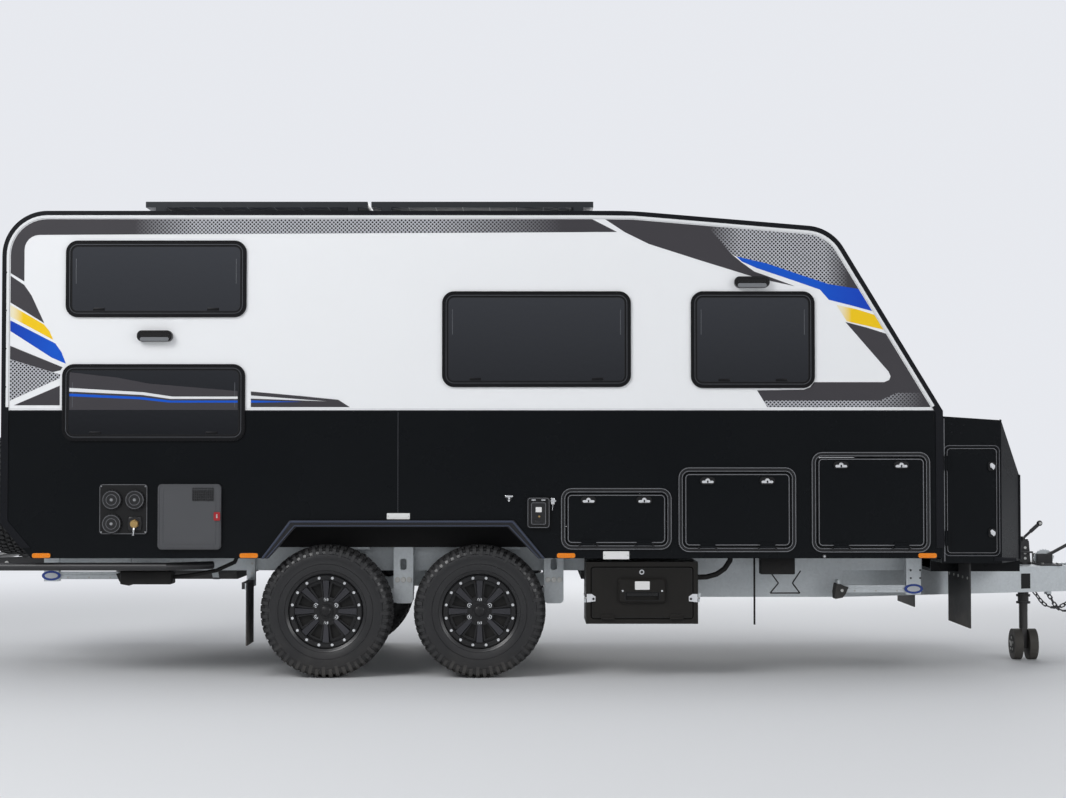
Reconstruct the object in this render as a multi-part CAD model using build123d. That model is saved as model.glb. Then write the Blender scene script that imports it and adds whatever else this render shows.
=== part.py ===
from build123d import *
from math import cos, pi, radians, sin
import os

# Tandem-axle travel caravan, in millimetres: +X forward, +Z up, the right-hand side faces -Y.
# The origin is on the ground, in the middle of the whole outline.

# Body outline
body_width = 2440.0
body_bottom_z = 723.0
wall_split_z = 1605.0
roof_rear_z = 2805.0
roof_shoulder_drop = 101.0
roof_knee_behind_nose = 1872.0
roof_shoulder_behind_nose = 662.0
roof_corner_radius = 265.0
roof_knee_radius = 2600.0
rear_cut_length = 180.0
rear_cut_height = 210.0
wall_thickness = 32.0
rear_overhang = 420.0
front_overhang = 1600.0

# The side from rear to front: rear length, wheel arch, three hatches and the gaps between them
rear_length = 1560.0
arch_to_hatch = 94.0
galley_hatch_width = 666.0
galley_to_middle = 38.0
middle_hatch_width = 708.0
middle_to_tunnel = 90.0
tunnel_hatch_width = 714.0
hatch_to_nose = 72.0

# Floor and wheel boxes
floor_above_wall_foot = 52.0
floor_thickness = 40.0
wheel_box_wall = 12.0
wheel_box_gap = 40.0
wheel_box_side_gap = 20.0

# Wheels and axles
tyre_diameter = 800.0
tyre_width = 265.0
tyre_shoulder = 34.0
tyre_flats = 44
rim_flange_radius = 222.0
rim_width = 226.0
rim_wall = 24.0
rim_lip = 12.0
rim_lip_depth = 12.0
rim_disc_thickness = 14.0
rim_disc_inset = 30.0
spoke_count = 8
spoke_hub_width = 40.0
spoke_rim_width = 68.0
spoke_window_inner = 88.0
spoke_window_outer = 168.0
hub_radius = 62.0
hub_length = 120.0
hub_end_gap = 3.0
hub_face_height = 8.0
cap_radius = 42.0
cap_height = 12.0
axle_pin_radius = 30.0
axle_pin_length = 90.0
axle_running_clearance = 0.05
axle_spacing = 926.0
axle_behind_arch_middle = 8.0
wheel_inside_wall = 182.5

# Trailing arms, springs and dampers
arm_pivot_ahead = 450.0
arm_pivot_z = 490.0
arm_width = 70.0
arm_height = 90.0
arm_wheel_gap = 30.0
arm_boss_radius = 62.0
arm_bush_radius = 45.0
spring_radius = 62.0
spring_wire = 15.0
spring_turns = 5.5
spring_steps_per_turn = 8
spring_pad = 6.0
spring_ahead = 160.0
spring_seat_lift = 18.0
spring_seat_rim = 8.0
spring_tower = 14.0
damper_radius = 26.0
damper_rod_radius = 11.0
damper_rod_share = 0.38
damper_behind = 105.0
damper_lug_drop = 30.0
damper_lug_height = 24.0
damper_lug_reach = 30.0
bracket_plate = 10.0
bracket_length = 120.0
hanger_corner = 26.0
hanger_below_pivot = 60.0
hanger_slot_width = 40.0
hanger_slot_height = 70.0
hanger_slot_drop = 70.0
tower_behind_damper = 40.0
tower_ahead_of_spring = 80.0

# Chassis rails and drawbar
rail_height = 150.0
rail_width = 50.0
rail_inside_wall = 495.0
rail_rear_gap = 240.0
cross_member_width = 50.0
cross_member_height = 100.0
member_before_arch = 120.0
member_inside_arch = 816.0
member_after_arch = 162.0
middle_member_after_arch = 1062.0
member_behind_nose = 95.0
outrigger_height = 50.0
outrigger_end_gap = 80.0
outrigger_before_arch = 230.0
outrigger_behind_nose = 170.0
drawbar_rail_height = 165.0
drawbar_lap = 1560.0
drawbar_bend_behind_nose = 530.0
drawbar_reach = 1350.0
drawbar_nose_y = 62.0
drawbar_plate_thickness = 10.0
channel_length = 60.0
channel_foot_gap = 30.0
rear_channel_behind_nose = 640.0
front_channel_ahead = 120.0
jack_channel_length = 120.0

# Coupling, jack and hand brake
coupling_width = 84.0
coupling_head_radius = 58.0
coupling_socket_radius = 20.0
coupling_socket_depth = 70.0
coupling_lever_behind_head = 110.0
coupling_lever_rise = 70.0
coupling_lever_reach = 100.0
coupling_lever_tilt = 22.0
coupling_lever_radius = 10.0
coupling_post_radius = 16.0
jack_ahead = 783.0
jack_tube_radius = 35.0
jack_leg_radius = 28.0
jack_running_clearance = 0.05
jack_tube_bottom_z = 366.0
jack_tube_top_z = 790.0
jack_stop_gap = 7.0
jockey_radius = 100.0
jockey_wheel_width = 55.0
jockey_total_width = 153.0
jockey_pin_radius = 10.0
handbrake_ahead = 910.0
handbrake_shelf_length = 140.0
handbrake_box_length = 100.0
handbrake_box_height = 60.0
handbrake_box_half_width = 70.0
handbrake_lever_reach = 260.0
handbrake_lever_foot = 40.0
handbrake_lever_rise = 140.0
handbrake_lever_radius = 11.0
crank_boss_radius = 16.0
crank_boss_height = 12.0
crank_radius = 9.0
crank_reach = 112.0
crank_rise = 92.0
crank_knob_radius = 19.0

# Drop-down corner legs
leg_length = 470.0
leg_width = 40.0
leg_height = 45.0
leg_inside_wall = 315.0
leg_foot_width = 120.0
leg_foot_length = 110.0
leg_foot_thickness = 12.0
leg_pin_radius = 10.0
rear_leg_pivot_x = 232.0
rear_leg_drop = 22.0
front_leg_behind_nose = 120.0
front_leg_drop = 103.0
leg_cheek = 8.0

# Windows, with a black frame standing proud of the wall. The shares are of the wall's height,
# from its foot to the rear roof.
frame_face = 35.0
frame_proud = 12.0
frame_overlap = 22.0
frame_corner = 72.0
pane_thickness = 8.0
bunk_window_width = 1086.0
bunk_window_start = 378.0
bunk_window_height_share = 0.2219
high_bunk_sill_share = 0.6945
low_bunk_sill_share = 0.3372
low_bunk_side_growth = 18.0
low_bunk_extra_width = 12.0
middle_window_height_share = 0.2767
middle_window_sill_share = 0.4928
middle_window_width = 1134.0
middle_window_before_arch_end = 618.0
left_window_before_arch_end = 1238.0
nose_window_height_share = 0.2795
nose_window_sill_share = 0.4899
nose_window_width = 744.0
nose_window_behind_nose = 1506.0
pane_seat = 8.0

# Hatches and doors
hatch_frame_face = 30.0
hatch_frame_proud = 10.0
hatch_corner = 66.0
leaf_gap = 5.0
leaf_proud = 14.0
leaf_thickness = 44.0
hinge_stand_off = 12.0
hinge_radius = 8.0
hinge_length = 90.0
latch_width = 84.0
latch_face_height = 40.0
latch_below_head = 38.0
latch_height = 9.0
latch_share = 0.22
boot_latch_radius = 27.0
boot_latch_inset = 40.0
galley_hatch_foot = 51.0
galley_hatch_height = 371.0
middle_hatch_foot = 36.0
middle_hatch_height = 510.0
tunnel_hatch_foot = 34.0
tunnel_hatch_height = 604.0
door_after_arch = 92.0
door_width = 640.0
door_above_wall_foot = 77.0
door_head_gap = 235.0
door_window_inset = 110.0
door_window_height = 620.0
door_window_drop = 150.0
door_window_corner = 40.0
door_pane_depth = 10.0
door_pane_thickness = 10.0
door_handle_inset = 30.0
door_handle_width = 60.0
door_handle_depth = 16.0
door_handle_above_foot = 850.0
door_handle_height = 130.0

# Front boot
boot_length = 550.0
boot_side_length = 360.0
boot_inside_wall = 20.0
boot_nose_inset = 340.0
boot_side_bottom_drop = 30.0
boot_top_drop = 30.0
boot_top_slope = 24.0
boot_nose_top_z = 1218.0
boot_wall = 20.0
boot_door_start = 18.0
boot_door_length = 325.0
boot_door_bottom_gap = 18.0
boot_door_top_gap = 180.0
boot_door_corner = 30.0
boot_door_proud = 6.0

# Underslung toolbox
toolbox_after_arch = 246.0
toolbox_length = 672.0
toolbox_bottom_z = 330.0
toolbox_top_gap = 75.0
toolbox_inside_wall = 20.0
toolbox_wall = 12.0
toolbox_rim = 28.0
toolbox_corner = 20.0
toolbox_lid_proud = 4.0
toolbox_hinge_inset = 130.0
toolbox_hinge_length = 80.0
toolbox_latch_width = 290.0
toolbox_latch_height = 150.0
toolbox_latch_depth = 26.0
toolbox_latch_corner = 24.0
toolbox_latch_chamfer = 12.0
toolbox_latch_lift = 14.0
toolbox_grip_width = 200.0
toolbox_grip_height = 46.0
toolbox_grip_depth = 18.0
toolbox_grip_drop = 32.0

# Water tanks
tank_length = 760.0
tank_to_rail = 100.0
tank_height = 205.0
tank_floor_gap = 10.0
tank_chamfer = 40.0
rear_tank_start = 560.0
front_tank_after_arch = 232.0

# Rear bumper and spare wheel
bumper_radius = 24.0
bumper_below_floor = 104.0
bumper_inside_wall = 40.0
bumper_bend = 150.0
bumper_bend_steps = 3
bumper_front_reach = 978.0
bumper_tab_reach = 1230.0
bumper_tab_inset = 189.0
spare_z = 1090.0
spare_gap = 62.0
spare_hub_back = 20.0
spare_stub_radius = 40.0

# Mud flaps behind the wheels, and stone flaps under the boot, outside the drawbar
flap_thickness = 8.0
flap_width = 300.0
flap_outer_trim = 20.0
rear_flap_before_arch = 100.0
rear_flap_bottom_z = 195.0
rear_flap_drop = 52.0
flap_bracket_depth = 30.0
flap_bracket_height = 40.0
flap_bracket_reach = 100.0
flap_hanger_width = 45.0
flap_hanger_head_gap = 60.0
stone_flap_ahead = 170.0
stone_flap_bottom_z = 300.0
stone_flap_rail_gap = 58.0
stone_flap_boot_gap = 25.0

# Roof fittings
solar_start = 828.0
solar_length = 1350.0
solar_width = 1020.0
solar_inside_wall = 140.0
solar_thickness = 35.0
solar_feet = 45.0
solar_between = 24.0
roof_hatch_size = 420.0
roof_hatch_height = 60.0
rear_roof_hatch_start = 330.0
front_roof_hatch_start = 3060.0
rear_roof_hatch_y = 420.0
front_roof_hatch_y = 520.0
roof_hatch_chamfer = 18.0
solar_foot_length = 60.0
solar_foot_inset = 60.0

# Mouldings, arch trims and lamps
moulding_proud = 6.0
moulding_width = 38.0
moulding_foot_lift = 10.0
arch_trim_width = 40.0
arch_trim_proud = 26.0
arch_height_z = 951.0
arch_foot_beyond_axles = 386.0
arch_rear_slant = 168.0
arch_front_slant = 186.0
amber_length = 117.0
amber_height = 34.0
amber_above_wall_foot = 17.0
amber_depth = 16.0
rear_marker_start = 243.0
marker_before_arch = 75.0
marker_after_arch = 126.0
marker_behind_nose = 93.0
porch_length = 210.0
porch_height = 66.0
porch_depth = 42.0
rear_porch_start = 918.0
rear_porch_share = 0.6398
front_porch_behind_nose = 1140.0
front_porch_share = 0.7954
tail_lamp_width = 330.0
tail_lamp_height = 120.0
tail_lamp_depth = 34.0
tail_lamp_z = 1020.0
tail_lamp_inside_wall = 260.0

# Service fittings on the right-hand wall
filler_before_arch = 972.0
filler_width = 288.0
filler_bottom_z = 867.0
filler_height = 300.0
filler_cap_radius = 58.0
filler_cap_height = 16.0
tap_radius = 22.0
tap_height = 37.0
filler_plate_depth = 8.0
filler_corner = 20.0
filler_low_inset = 63.0
filler_high_inset = 94.0
filler_rear_inset = 77.0
filler_front_inset = 73.0
heater_before_arch = 618.0
heater_width = 378.0
heater_bottom_z = 777.0
heater_height = 390.0
heater_depth = 30.0
heater_corner = 24.0
inlet_before_arch_end = 108.0
inlet_width = 138.0
inlet_bottom_z = 903.0
inlet_height = 186.0
inlet_depth = 26.0
inlet_corner = 18.0

# Awning and entry step
awning_start = 560.0
awning_front_gap = 930.0
awning_radius = 55.0
awning_below_roof = 175.0
awning_back_height = 90.0
step_width = 480.0
step_depth = 260.0
step_thickness = 30.0
step_below_floor = 110.0
step_runner = 40.0
step_inside_wall = 12.0
runner_end_gap = 20.0
runner_foot_drop = 10.0
runner_head_rise = 12.0

# Values that follow from the sizes above
arch_start = rear_length
arch_end = arch_start + axle_spacing + 2 * arch_foot_beyond_axles
galley_start = arch_end + arch_to_hatch
middle_start = galley_start + galley_hatch_width + galley_to_middle
tunnel_start = middle_start + middle_hatch_width + middle_to_tunnel
body_length = tunnel_start + tunnel_hatch_width + hatch_to_nose
overall_length = rear_overhang + body_length + front_overhang
rear_x = -overall_length / 2 + rear_overhang
front_x = rear_x + body_length
half_width = body_width / 2
inner_y = half_width - wall_thickness
floor_bottom_z = body_bottom_z + floor_above_wall_foot
rail_top_z = floor_bottom_z
rail_bottom_z = rail_top_z - rail_height
rail_middle_y = half_width - rail_inside_wall
drawbar_top_z = rail_bottom_z
drawbar_bottom_z = drawbar_top_z - drawbar_rail_height
drawbar_nose_x = front_x + drawbar_reach
jack_x = front_x + jack_ahead
tyre_radius = tyre_diameter / 2
axle_middle_x = rear_x + (arch_start + arch_end) / 2 - axle_behind_arch_middle
axle_xs = [axle_middle_x - axle_spacing / 2, axle_middle_x + axle_spacing / 2]
wheel_y = half_width - wheel_inside_wall
boot_half_width = half_width - boot_inside_wall
boot_nose_half_width = boot_half_width - boot_nose_inset
boot_side_bottom_z = body_bottom_z - boot_side_bottom_drop
boot_top_z = wall_split_z - boot_top_drop
boot_door_bottom_z = body_bottom_z + boot_door_bottom_gap
leg_y = half_width - leg_inside_wall
bumper_z = floor_bottom_z - bumper_below_floor
door_bottom_z = body_bottom_z + door_above_wall_foot
jack_fork_z = 2 * jockey_radius + 4
jack_travel = jack_tube_bottom_z - jack_fork_z - jack_stop_gap
SIDES = [("right", -1), ("left", 1)]

wall_height = roof_rear_z - body_bottom_z
bunk_window_height = wall_height * bunk_window_height_share
high_bunk_sill_z = body_bottom_z + wall_height * high_bunk_sill_share
low_bunk_sill_z = body_bottom_z + wall_height * low_bunk_sill_share
middle_window_height = wall_height * middle_window_height_share
middle_window_sill_z = body_bottom_z + wall_height * middle_window_sill_share
nose_window_height = wall_height * nose_window_height_share
nose_window_sill_z = body_bottom_z + wall_height * nose_window_sill_share
rear_porch_z = body_bottom_z + wall_height * rear_porch_share
front_porch_z = body_bottom_z + wall_height * front_porch_share
low_bunk_start = bunk_window_start - low_bunk_side_growth
low_bunk_width = bunk_window_width + low_bunk_extra_width
middle_window_start = arch_end - middle_window_before_arch_end
left_window_start = arch_end - left_window_before_arch_end
nose_window_start = body_length - nose_window_behind_nose

# Fixed windows: side, start from the rear wall, width, sill height, height
WINDOWS = [
    ("right", bunk_window_start, bunk_window_width, high_bunk_sill_z, bunk_window_height),
    ("right", low_bunk_start, low_bunk_width, low_bunk_sill_z, bunk_window_height),
    ("right", middle_window_start, middle_window_width, middle_window_sill_z, middle_window_height),
    ("right", nose_window_start, nose_window_width, nose_window_sill_z, nose_window_height),
    ("left", bunk_window_start, bunk_window_width, middle_window_sill_z, middle_window_height),
    ("left", left_window_start, middle_window_width, middle_window_sill_z, middle_window_height),
    ("left", nose_window_start, nose_window_width, nose_window_sill_z, nose_window_height),
]

# Bottom-hinged hatches: name, side, start from the rear wall, width, foot above the wall's foot, height
HATCHES = [
    ("galley_hatch", "right", galley_start, galley_hatch_width, galley_hatch_foot, galley_hatch_height),
    ("middle_hatch", "right", middle_start, middle_hatch_width, middle_hatch_foot, middle_hatch_height),
    ("tunnel_hatch_right", "right", tunnel_start, tunnel_hatch_width, tunnel_hatch_foot, tunnel_hatch_height),
    ("tunnel_hatch_left", "left", tunnel_start, tunnel_hatch_width, tunnel_hatch_foot, tunnel_hatch_height),
]

# Side markers: distance of the middle from the rear wall
MARKERS = [
    rear_marker_start,
    arch_start - marker_before_arch,
    arch_end + marker_after_arch,
    body_length - marker_behind_nose,
]

# Oblong outside lamps: distance of the middle from the rear wall, height
PORCH_LAMPS = [
    (rear_porch_start, rear_porch_z),
    (body_length - front_porch_behind_nose, front_porch_z),
]

# Cross members, and the outriggers outside the rails: distance from the rear wall
CROSS_MEMBERS = [
    rail_rear_gap,
    arch_start - member_before_arch,
    arch_start + member_inside_arch,
    arch_end + member_after_arch,
    arch_end + middle_member_after_arch,
    body_length - member_behind_nose,
]
OUTRIGGERS = [
    rail_rear_gap,
    arch_start - outrigger_before_arch,
    arch_end + member_after_arch,
    arch_end + middle_member_after_arch,
    body_length - outrigger_behind_nose,
]

# Channels between the drawbar rails: distance from the front wall, length
DRAWBAR_CHANNELS = [
    (-rear_channel_behind_nose, channel_length),
    (front_channel_ahead, channel_length),
    (jack_ahead - jack_channel_length / 2, jack_channel_length),
]

PARTS = {}


def block(x0, x1, y0, y1, z0, z1):
    """A box between two corners."""
    size = (abs(x1 - x0), abs(y1 - y0), abs(z1 - z0))
    middle = ((x0 + x1) / 2, (y0 + y1) / 2, (z0 + z1) / 2)
    return Pos(*middle) * Box(*size)


def rod(start, end, radius):
    """A round bar from one point to another."""
    a = Vector(*start)
    b = Vector(*end)
    plane = Plane(origin=a, z_dir=(b - a).normalized())
    return extrude(plane * Circle(radius), amount=(b - a).length)


def across(face, y0, y1):
    """A face drawn in X and Z, made solid between two places along Y."""
    low, high = min(y0, y1), max(y0, y1)
    return extrude(Plane.XZ.offset(-high) * face, amount=high - low)


def along(face, x0, x1):
    """A face drawn in Y and Z, made solid between two places along X."""
    return extrude(Plane.YZ.offset(x0) * face, amount=x1 - x0)


def upright(face, z0, z1):
    """A face drawn in X and Y, made solid between two heights."""
    return extrude(Plane.XY.offset(z0) * face, amount=z1 - z0)


def outline(points):
    return make_face(Polyline(*points, close=True))


def rounded(x0, x1, z0, z1, corner):
    """A rectangle with rounded corners, drawn in X and Z."""
    shape = RectangleRounded(x1 - x0, z1 - z0, corner)
    return Pos((x0 + x1) / 2, (z0 + z1) / 2) * shape


def mirrored(part):
    """The same piece on the other side of the caravan."""
    return part.mirror(Plane.XZ)


def sided(part, side):
    """Pieces are drawn for the right side, and mirrored for the left."""
    if side == "left":
        return mirrored(part)
    return part


def keep(name, *parts):
    """Collects the separate solids of one named piece."""
    solids = []
    for part in parts:
        solids.extend(part.solids())
    PARTS[name] = Compound(children=solids)


def body_face():
    """The caravan's side outline, with its rounded roof corners and sloping nose."""
    points = [
        (rear_x, body_bottom_z + rear_cut_height),
        (rear_x, roof_rear_z),
        (front_x - roof_knee_behind_nose, roof_rear_z),
        (front_x - roof_shoulder_behind_nose, roof_rear_z - roof_shoulder_drop),
        (front_x, wall_split_z),
        (front_x, body_bottom_z),
        (rear_x + rear_cut_length, body_bottom_z),
    ]
    radii = [0, roof_corner_radius, roof_knee_radius, roof_corner_radius, 0, 0, 0]
    return make_face(FilletPolyline(*points, radius=radii, close=True))


def arch_face(inset=0.0):
    """The wheel arch, wider at its foot, out to the edge of its trim."""
    return outline([
        (rear_x + arch_start + inset, body_bottom_z - 1),
        (rear_x + arch_start + arch_rear_slant + inset, arch_height_z - inset),
        (rear_x + arch_end - arch_front_slant - inset, arch_height_z - inset),
        (rear_x + arch_end - inset, body_bottom_z - 1),
    ])


def hole_in_wall(face):
    """What a cut through the right-hand wall takes away."""
    return across(face, -half_width - 1, -inner_y + 1)


def window_span(row):
    side, start, width, sill, height = row
    return rear_x + start, rear_x + start + width, sill, sill + height


def hatch_span(row):
    name, side, start, width, foot, height = row
    bottom = body_bottom_z + foot
    return rear_x + start, rear_x + start + width, bottom, bottom + height


def door_span():
    x0 = rear_x + arch_end + door_after_arch
    return x0, x0 + door_width, door_bottom_z, roof_rear_z - door_head_gap


def shrunk(span, inset):
    x0, x1, z0, z1 = span
    return x0 + inset, x1 - inset, z0 + inset, z1 - inset


def wall_cuts(side):
    """Every opening in one side wall, drawn on the right-hand side."""
    cuts = hole_in_wall(arch_face(arch_trim_width))
    for row in WINDOWS:
        if row[0] == side:
            span = shrunk(window_span(row), frame_overlap)
            cuts += hole_in_wall(rounded(*span, frame_corner - frame_overlap))
    for row in HATCHES:
        if row[1] == side:
            span = shrunk(hatch_span(row), frame_overlap)
            cuts += hole_in_wall(rounded(*span, hatch_corner - frame_overlap))
    if side == "left":
        cuts += hole_in_wall(rounded(*shrunk(door_span(), frame_overlap), hatch_corner - frame_overlap))
    return cuts


def side_walls():
    wall = across(body_face(), -half_width, -inner_y)
    split = block(
        rear_x - 1, front_x + 1, -half_width - 1, half_width + 1,
        wall_split_z, roof_rear_z + 1,
    )
    for side, sign in SIDES:
        cut_wall = wall - wall_cuts(side)
        keep("side_wall_upper_" + side, sided(cut_wall & split, side))
        keep("side_wall_lower_" + side, sided(cut_wall - split, side))


def end_walls_and_roof():
    """Roof with its nose slope, rear wall and front wall, between the side walls."""
    face = body_face()
    inner = offset(face, amount=-wall_thickness, kind=Kind.INTERSECTION)
    shell = across(face - inner, -inner_y, inner_y)
    roof_start_z = roof_rear_z - roof_corner_radius
    rear_zone = block(rear_x - 1, rear_x + rear_cut_length + 2, -inner_y, inner_y, 0, roof_start_z)
    front_zone = block(front_x - 200, front_x + 1, -inner_y, inner_y, 0, wall_split_z)
    bottom_zone = block(rear_x - 1, front_x - wall_thickness, -inner_y, inner_y, 0, floor_bottom_z)
    front_zone -= bottom_zone
    keep("rear_wall", shell & rear_zone)
    keep("front_wall", shell & front_zone)
    keep("roof_panel", shell - rear_zone - front_zone - bottom_zone)


def floor_and_wheel_boxes():
    box_x0 = axle_xs[0] - tyre_radius - wheel_box_gap
    box_x1 = axle_xs[1] + tyre_radius + wheel_box_gap
    box_y = wheel_y - tyre_width / 2 - wheel_box_side_gap - wheel_box_wall
    floor_top = floor_bottom_z + floor_thickness
    floor_x0 = rear_x + rear_cut_length - 2
    plate = block(floor_x0, front_x - wall_thickness, -inner_y, inner_y, floor_bottom_z, floor_top)
    boxes = []
    for side, sign in SIDES:
        plate -= block(box_x0, box_x1, sign * box_y, sign * inner_y, floor_bottom_z, floor_top)
        outer = block(
            box_x0, box_x1, sign * box_y, sign * inner_y,
            floor_bottom_z, arch_height_z + wheel_box_wall,
        )
        hollow = block(
            box_x0 + wheel_box_wall, box_x1 - wheel_box_wall,
            sign * (box_y + wheel_box_wall), sign * inner_y,
            floor_bottom_z, arch_height_z,
        )
        boxes.append(outer - hollow)
    keep("floor_panel", plate)
    keep("wheel_boxes", *boxes)


def mouldings_and_arch_trims():
    """The angle along the roof and nose edges, and the flared lip round each wheel arch."""
    face = body_face()
    outer = offset(face, amount=moulding_proud, kind=Kind.INTERSECTION)
    inner = offset(face, amount=-moulding_width, kind=Kind.INTERSECTION)
    side_leg = across(outer - inner, -half_width - moulding_proud, -half_width)
    top_leg = across(outer - face, -half_width, -half_width + moulding_width)
    foot = block(rear_x - 50, front_x + 50, -half_width - 50, 0, 0, floor_bottom_z + moulding_foot_lift)
    boot_side = block(front_x, front_x + 50, -half_width, 0, 0, wall_split_z)
    angle = (side_leg + top_leg) - foot - boot_side
    lip = across(arch_face() - arch_face(arch_trim_width), -half_width - arch_trim_proud, -half_width)
    lip -= block(rear_x, front_x, -half_width - 50, 0, 0, body_bottom_z)
    keep("edge_mouldings", angle, mirrored(angle))
    keep("wheel_arch_trims", lip, mirrored(lip))


def window(row):
    """A frame that laps over the wall and reaches through it, and the pane seated in it."""
    span = window_span(row)
    flange = across(rounded(*span, frame_corner), -half_width - frame_proud, -half_width)
    lining = rounded(*shrunk(span, frame_overlap), frame_corner - frame_overlap)
    through = across(lining, -half_width, -inner_y)
    seat_inset = frame_face - pane_seat
    seat = rounded(*shrunk(span, seat_inset), frame_corner - seat_inset)
    pane = across(seat, -half_width - pane_thickness, -half_width)
    way = rounded(*shrunk(span, frame_face), frame_corner - frame_face)
    light = across(way, -half_width - 50, -inner_y + 1)
    frame = flange + through - pane - light
    return frame, pane


def windows():
    frames = []
    panes = []
    for row in WINDOWS:
        frame, pane = window(row)
        frames.append(sided(frame, row[0]))
        panes.append(sided(pane, row[0]))
    keep("window_frames", *frames)
    keep("window_panes", *panes)


def opening_frame(span):
    """The frame round a hatch or a door, on the right-hand side."""
    flange = across(rounded(*span, hatch_corner), -half_width - hatch_frame_proud, -half_width)
    lining = rounded(*shrunk(span, frame_overlap), hatch_corner - frame_overlap)
    through = across(lining, -half_width, -inner_y)
    way = rounded(*shrunk(span, hatch_frame_face), hatch_corner - hatch_frame_face)
    return flange + through - across(way, -half_width - 50, -inner_y + 1)


def leaf_span(span):
    return shrunk(span, hatch_frame_face + leaf_gap)


def leaf(span):
    """A flat door leaf as thick as the wall, standing a little proud of its frame."""
    shape = rounded(*leaf_span(span), hatch_corner - hatch_frame_face - leaf_gap)
    outer_y = -half_width - leaf_proud
    return across(shape, outer_y, outer_y + leaf_thickness)


def hinge_y():
    return -half_width - leaf_proud - hinge_stand_off


def level_hinge(x, z, outer_y):
    """A barrel hinge lying along X with its leaf, at the foot of a hatch."""
    x0 = x - hinge_length / 2
    x1 = x + hinge_length / 2
    barrel = rod((x0, hinge_y(), z), (x1, hinge_y(), z), hinge_radius)
    return barrel + block(x0, x1, hinge_y(), outer_y, z, z + 3 * hinge_radius)


def hatch_leaf(span):
    """A hatch with two barrel hinges at its foot and two oval latches near its top."""
    part = leaf(span)
    x0, x1, z0, z1 = leaf_span(span)
    outer_y = -half_width - leaf_proud
    inset = (x1 - x0) * latch_share
    latch_z = z1 - latch_below_head
    for x in (x0 + inset, x1 - inset):
        part += level_hinge(x, z0, outer_y)
        oval = rounded(
            x - latch_width / 2, x + latch_width / 2,
            latch_z - latch_face_height / 2, latch_z + latch_face_height / 2,
            latch_face_height * 0.48,
        )
        part += across(oval, outer_y - latch_height, outer_y)
    return part


def hatches():
    frames = []
    for row in HATCHES:
        span = hatch_span(row)
        frames.append(sided(opening_frame(span), row[1]))
        keep(row[0], sided(hatch_leaf(span), row[1]))
    keep("opening_frames", *frames, mirrored(opening_frame(door_span())))


def upright_hinge(x, axis_y, z):
    """The barrel of a hinge standing along Z, with its lower and upper ends."""
    low = z - hinge_length / 2
    high = z + hinge_length / 2
    return rod((x, axis_y, low), (x, axis_y, high), hinge_radius), low, high


def entry_door():
    """The entry door on the left, drawn on the right: a leaf with a window, three hinges and a handle."""
    span = door_span()
    part = leaf(span)
    x0, x1, z0, z1 = leaf_span(span)
    light_head = z1 - door_window_drop
    light = rounded(
        x0 + door_window_inset, x1 - door_window_inset,
        light_head - door_window_height, light_head, door_window_corner,
    )
    outer_y = -half_width - leaf_proud
    part -= across(light, outer_y - 1, outer_y + leaf_thickness + 1)
    for share in (0.12, 0.5, 0.88):
        barrel, low, high = upright_hinge(x1, hinge_y(), z0 + (z1 - z0) * share)
        part += barrel + block(x1 - 3 * hinge_radius, x1, hinge_y(), outer_y, low, high)
    handle_x = x0 + door_handle_inset
    handle_z = z0 + door_handle_above_foot
    part += block(
        handle_x, handle_x + door_handle_width, outer_y - door_handle_depth, outer_y,
        handle_z, handle_z + door_handle_height,
    )
    pane_y = outer_y + door_pane_depth
    pane = across(light, pane_y, pane_y + door_pane_thickness)
    keep("entry_door", mirrored(part))
    keep("entry_door_pane", mirrored(pane))


def boot_solid(inset=0.0):
    """The front boot's form: a sloping top front and angled corners."""
    x0 = front_x
    x1 = front_x + boot_length - inset
    profile = outline([
        (x0, drawbar_top_z + inset),
        (x1, drawbar_top_z + inset),
        (x1, boot_nose_top_z - inset * 0.6),
        (x0 + boot_side_length - inset * 0.6, boot_top_z - boot_top_slope - inset),
        (x0, boot_top_z - inset),
    ])
    plan = outline([
        (x0 - 1, -boot_half_width + inset),
        (x0 + boot_side_length - inset * 0.3, -boot_half_width + inset),
        (x1, -boot_nose_half_width + inset * 0.5),
        (x1, boot_nose_half_width - inset * 0.5),
        (x0 + boot_side_length - inset * 0.3, boot_half_width - inset),
        (x0 - 1, boot_half_width - inset),
    ])
    body = across(profile, -boot_half_width, boot_half_width) & upright(plan, 0, roof_rear_z)
    for sign in (-1, 1):
        step_y = sign * (boot_nose_half_width - inset)
        body -= block(x0 - 1, x1 + 50, step_y, sign * half_width, 0, boot_side_bottom_z + inset)
    return body


def boot_door_span():
    x0 = front_x + boot_door_start
    return x0, x0 + boot_door_length, boot_door_bottom_z, boot_top_z - boot_door_top_gap


def front_boot():
    """The boot's shell and its two side doors, hinged on their rear edges."""
    shell = boot_solid() - boot_solid(boot_wall)
    shell -= block(front_x - 1, front_x, -half_width, half_width, 0, roof_rear_z)
    span = boot_door_span()
    shell -= across(rounded(*span, boot_door_corner), -half_width, half_width)
    keep("boot_shell", shell)
    x0, x1, z0, z1 = shrunk(span, leaf_gap)
    outer_y = -boot_half_width - boot_door_proud
    part = across(rounded(x0, x1, z0, z1, boot_door_corner - leaf_gap), outer_y, -boot_half_width + boot_wall)
    axis_y = outer_y - hinge_stand_off
    for share in (0.15, 0.85):
        barrel, low, high = upright_hinge(x0, axis_y, z0 + (z1 - z0) * share)
        part += barrel + block(x0, x0 + 3 * hinge_radius, axis_y, outer_y, low, high)
    latch_x = x1 - boot_latch_inset
    for share in (0.2, 0.82):
        z = z0 + (z1 - z0) * share
        part += rod((latch_x, outer_y, z), (latch_x, outer_y - latch_height, z), boot_latch_radius)
    keep("boot_door_right", part)
    keep("boot_door_left", mirrored(part))


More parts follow.
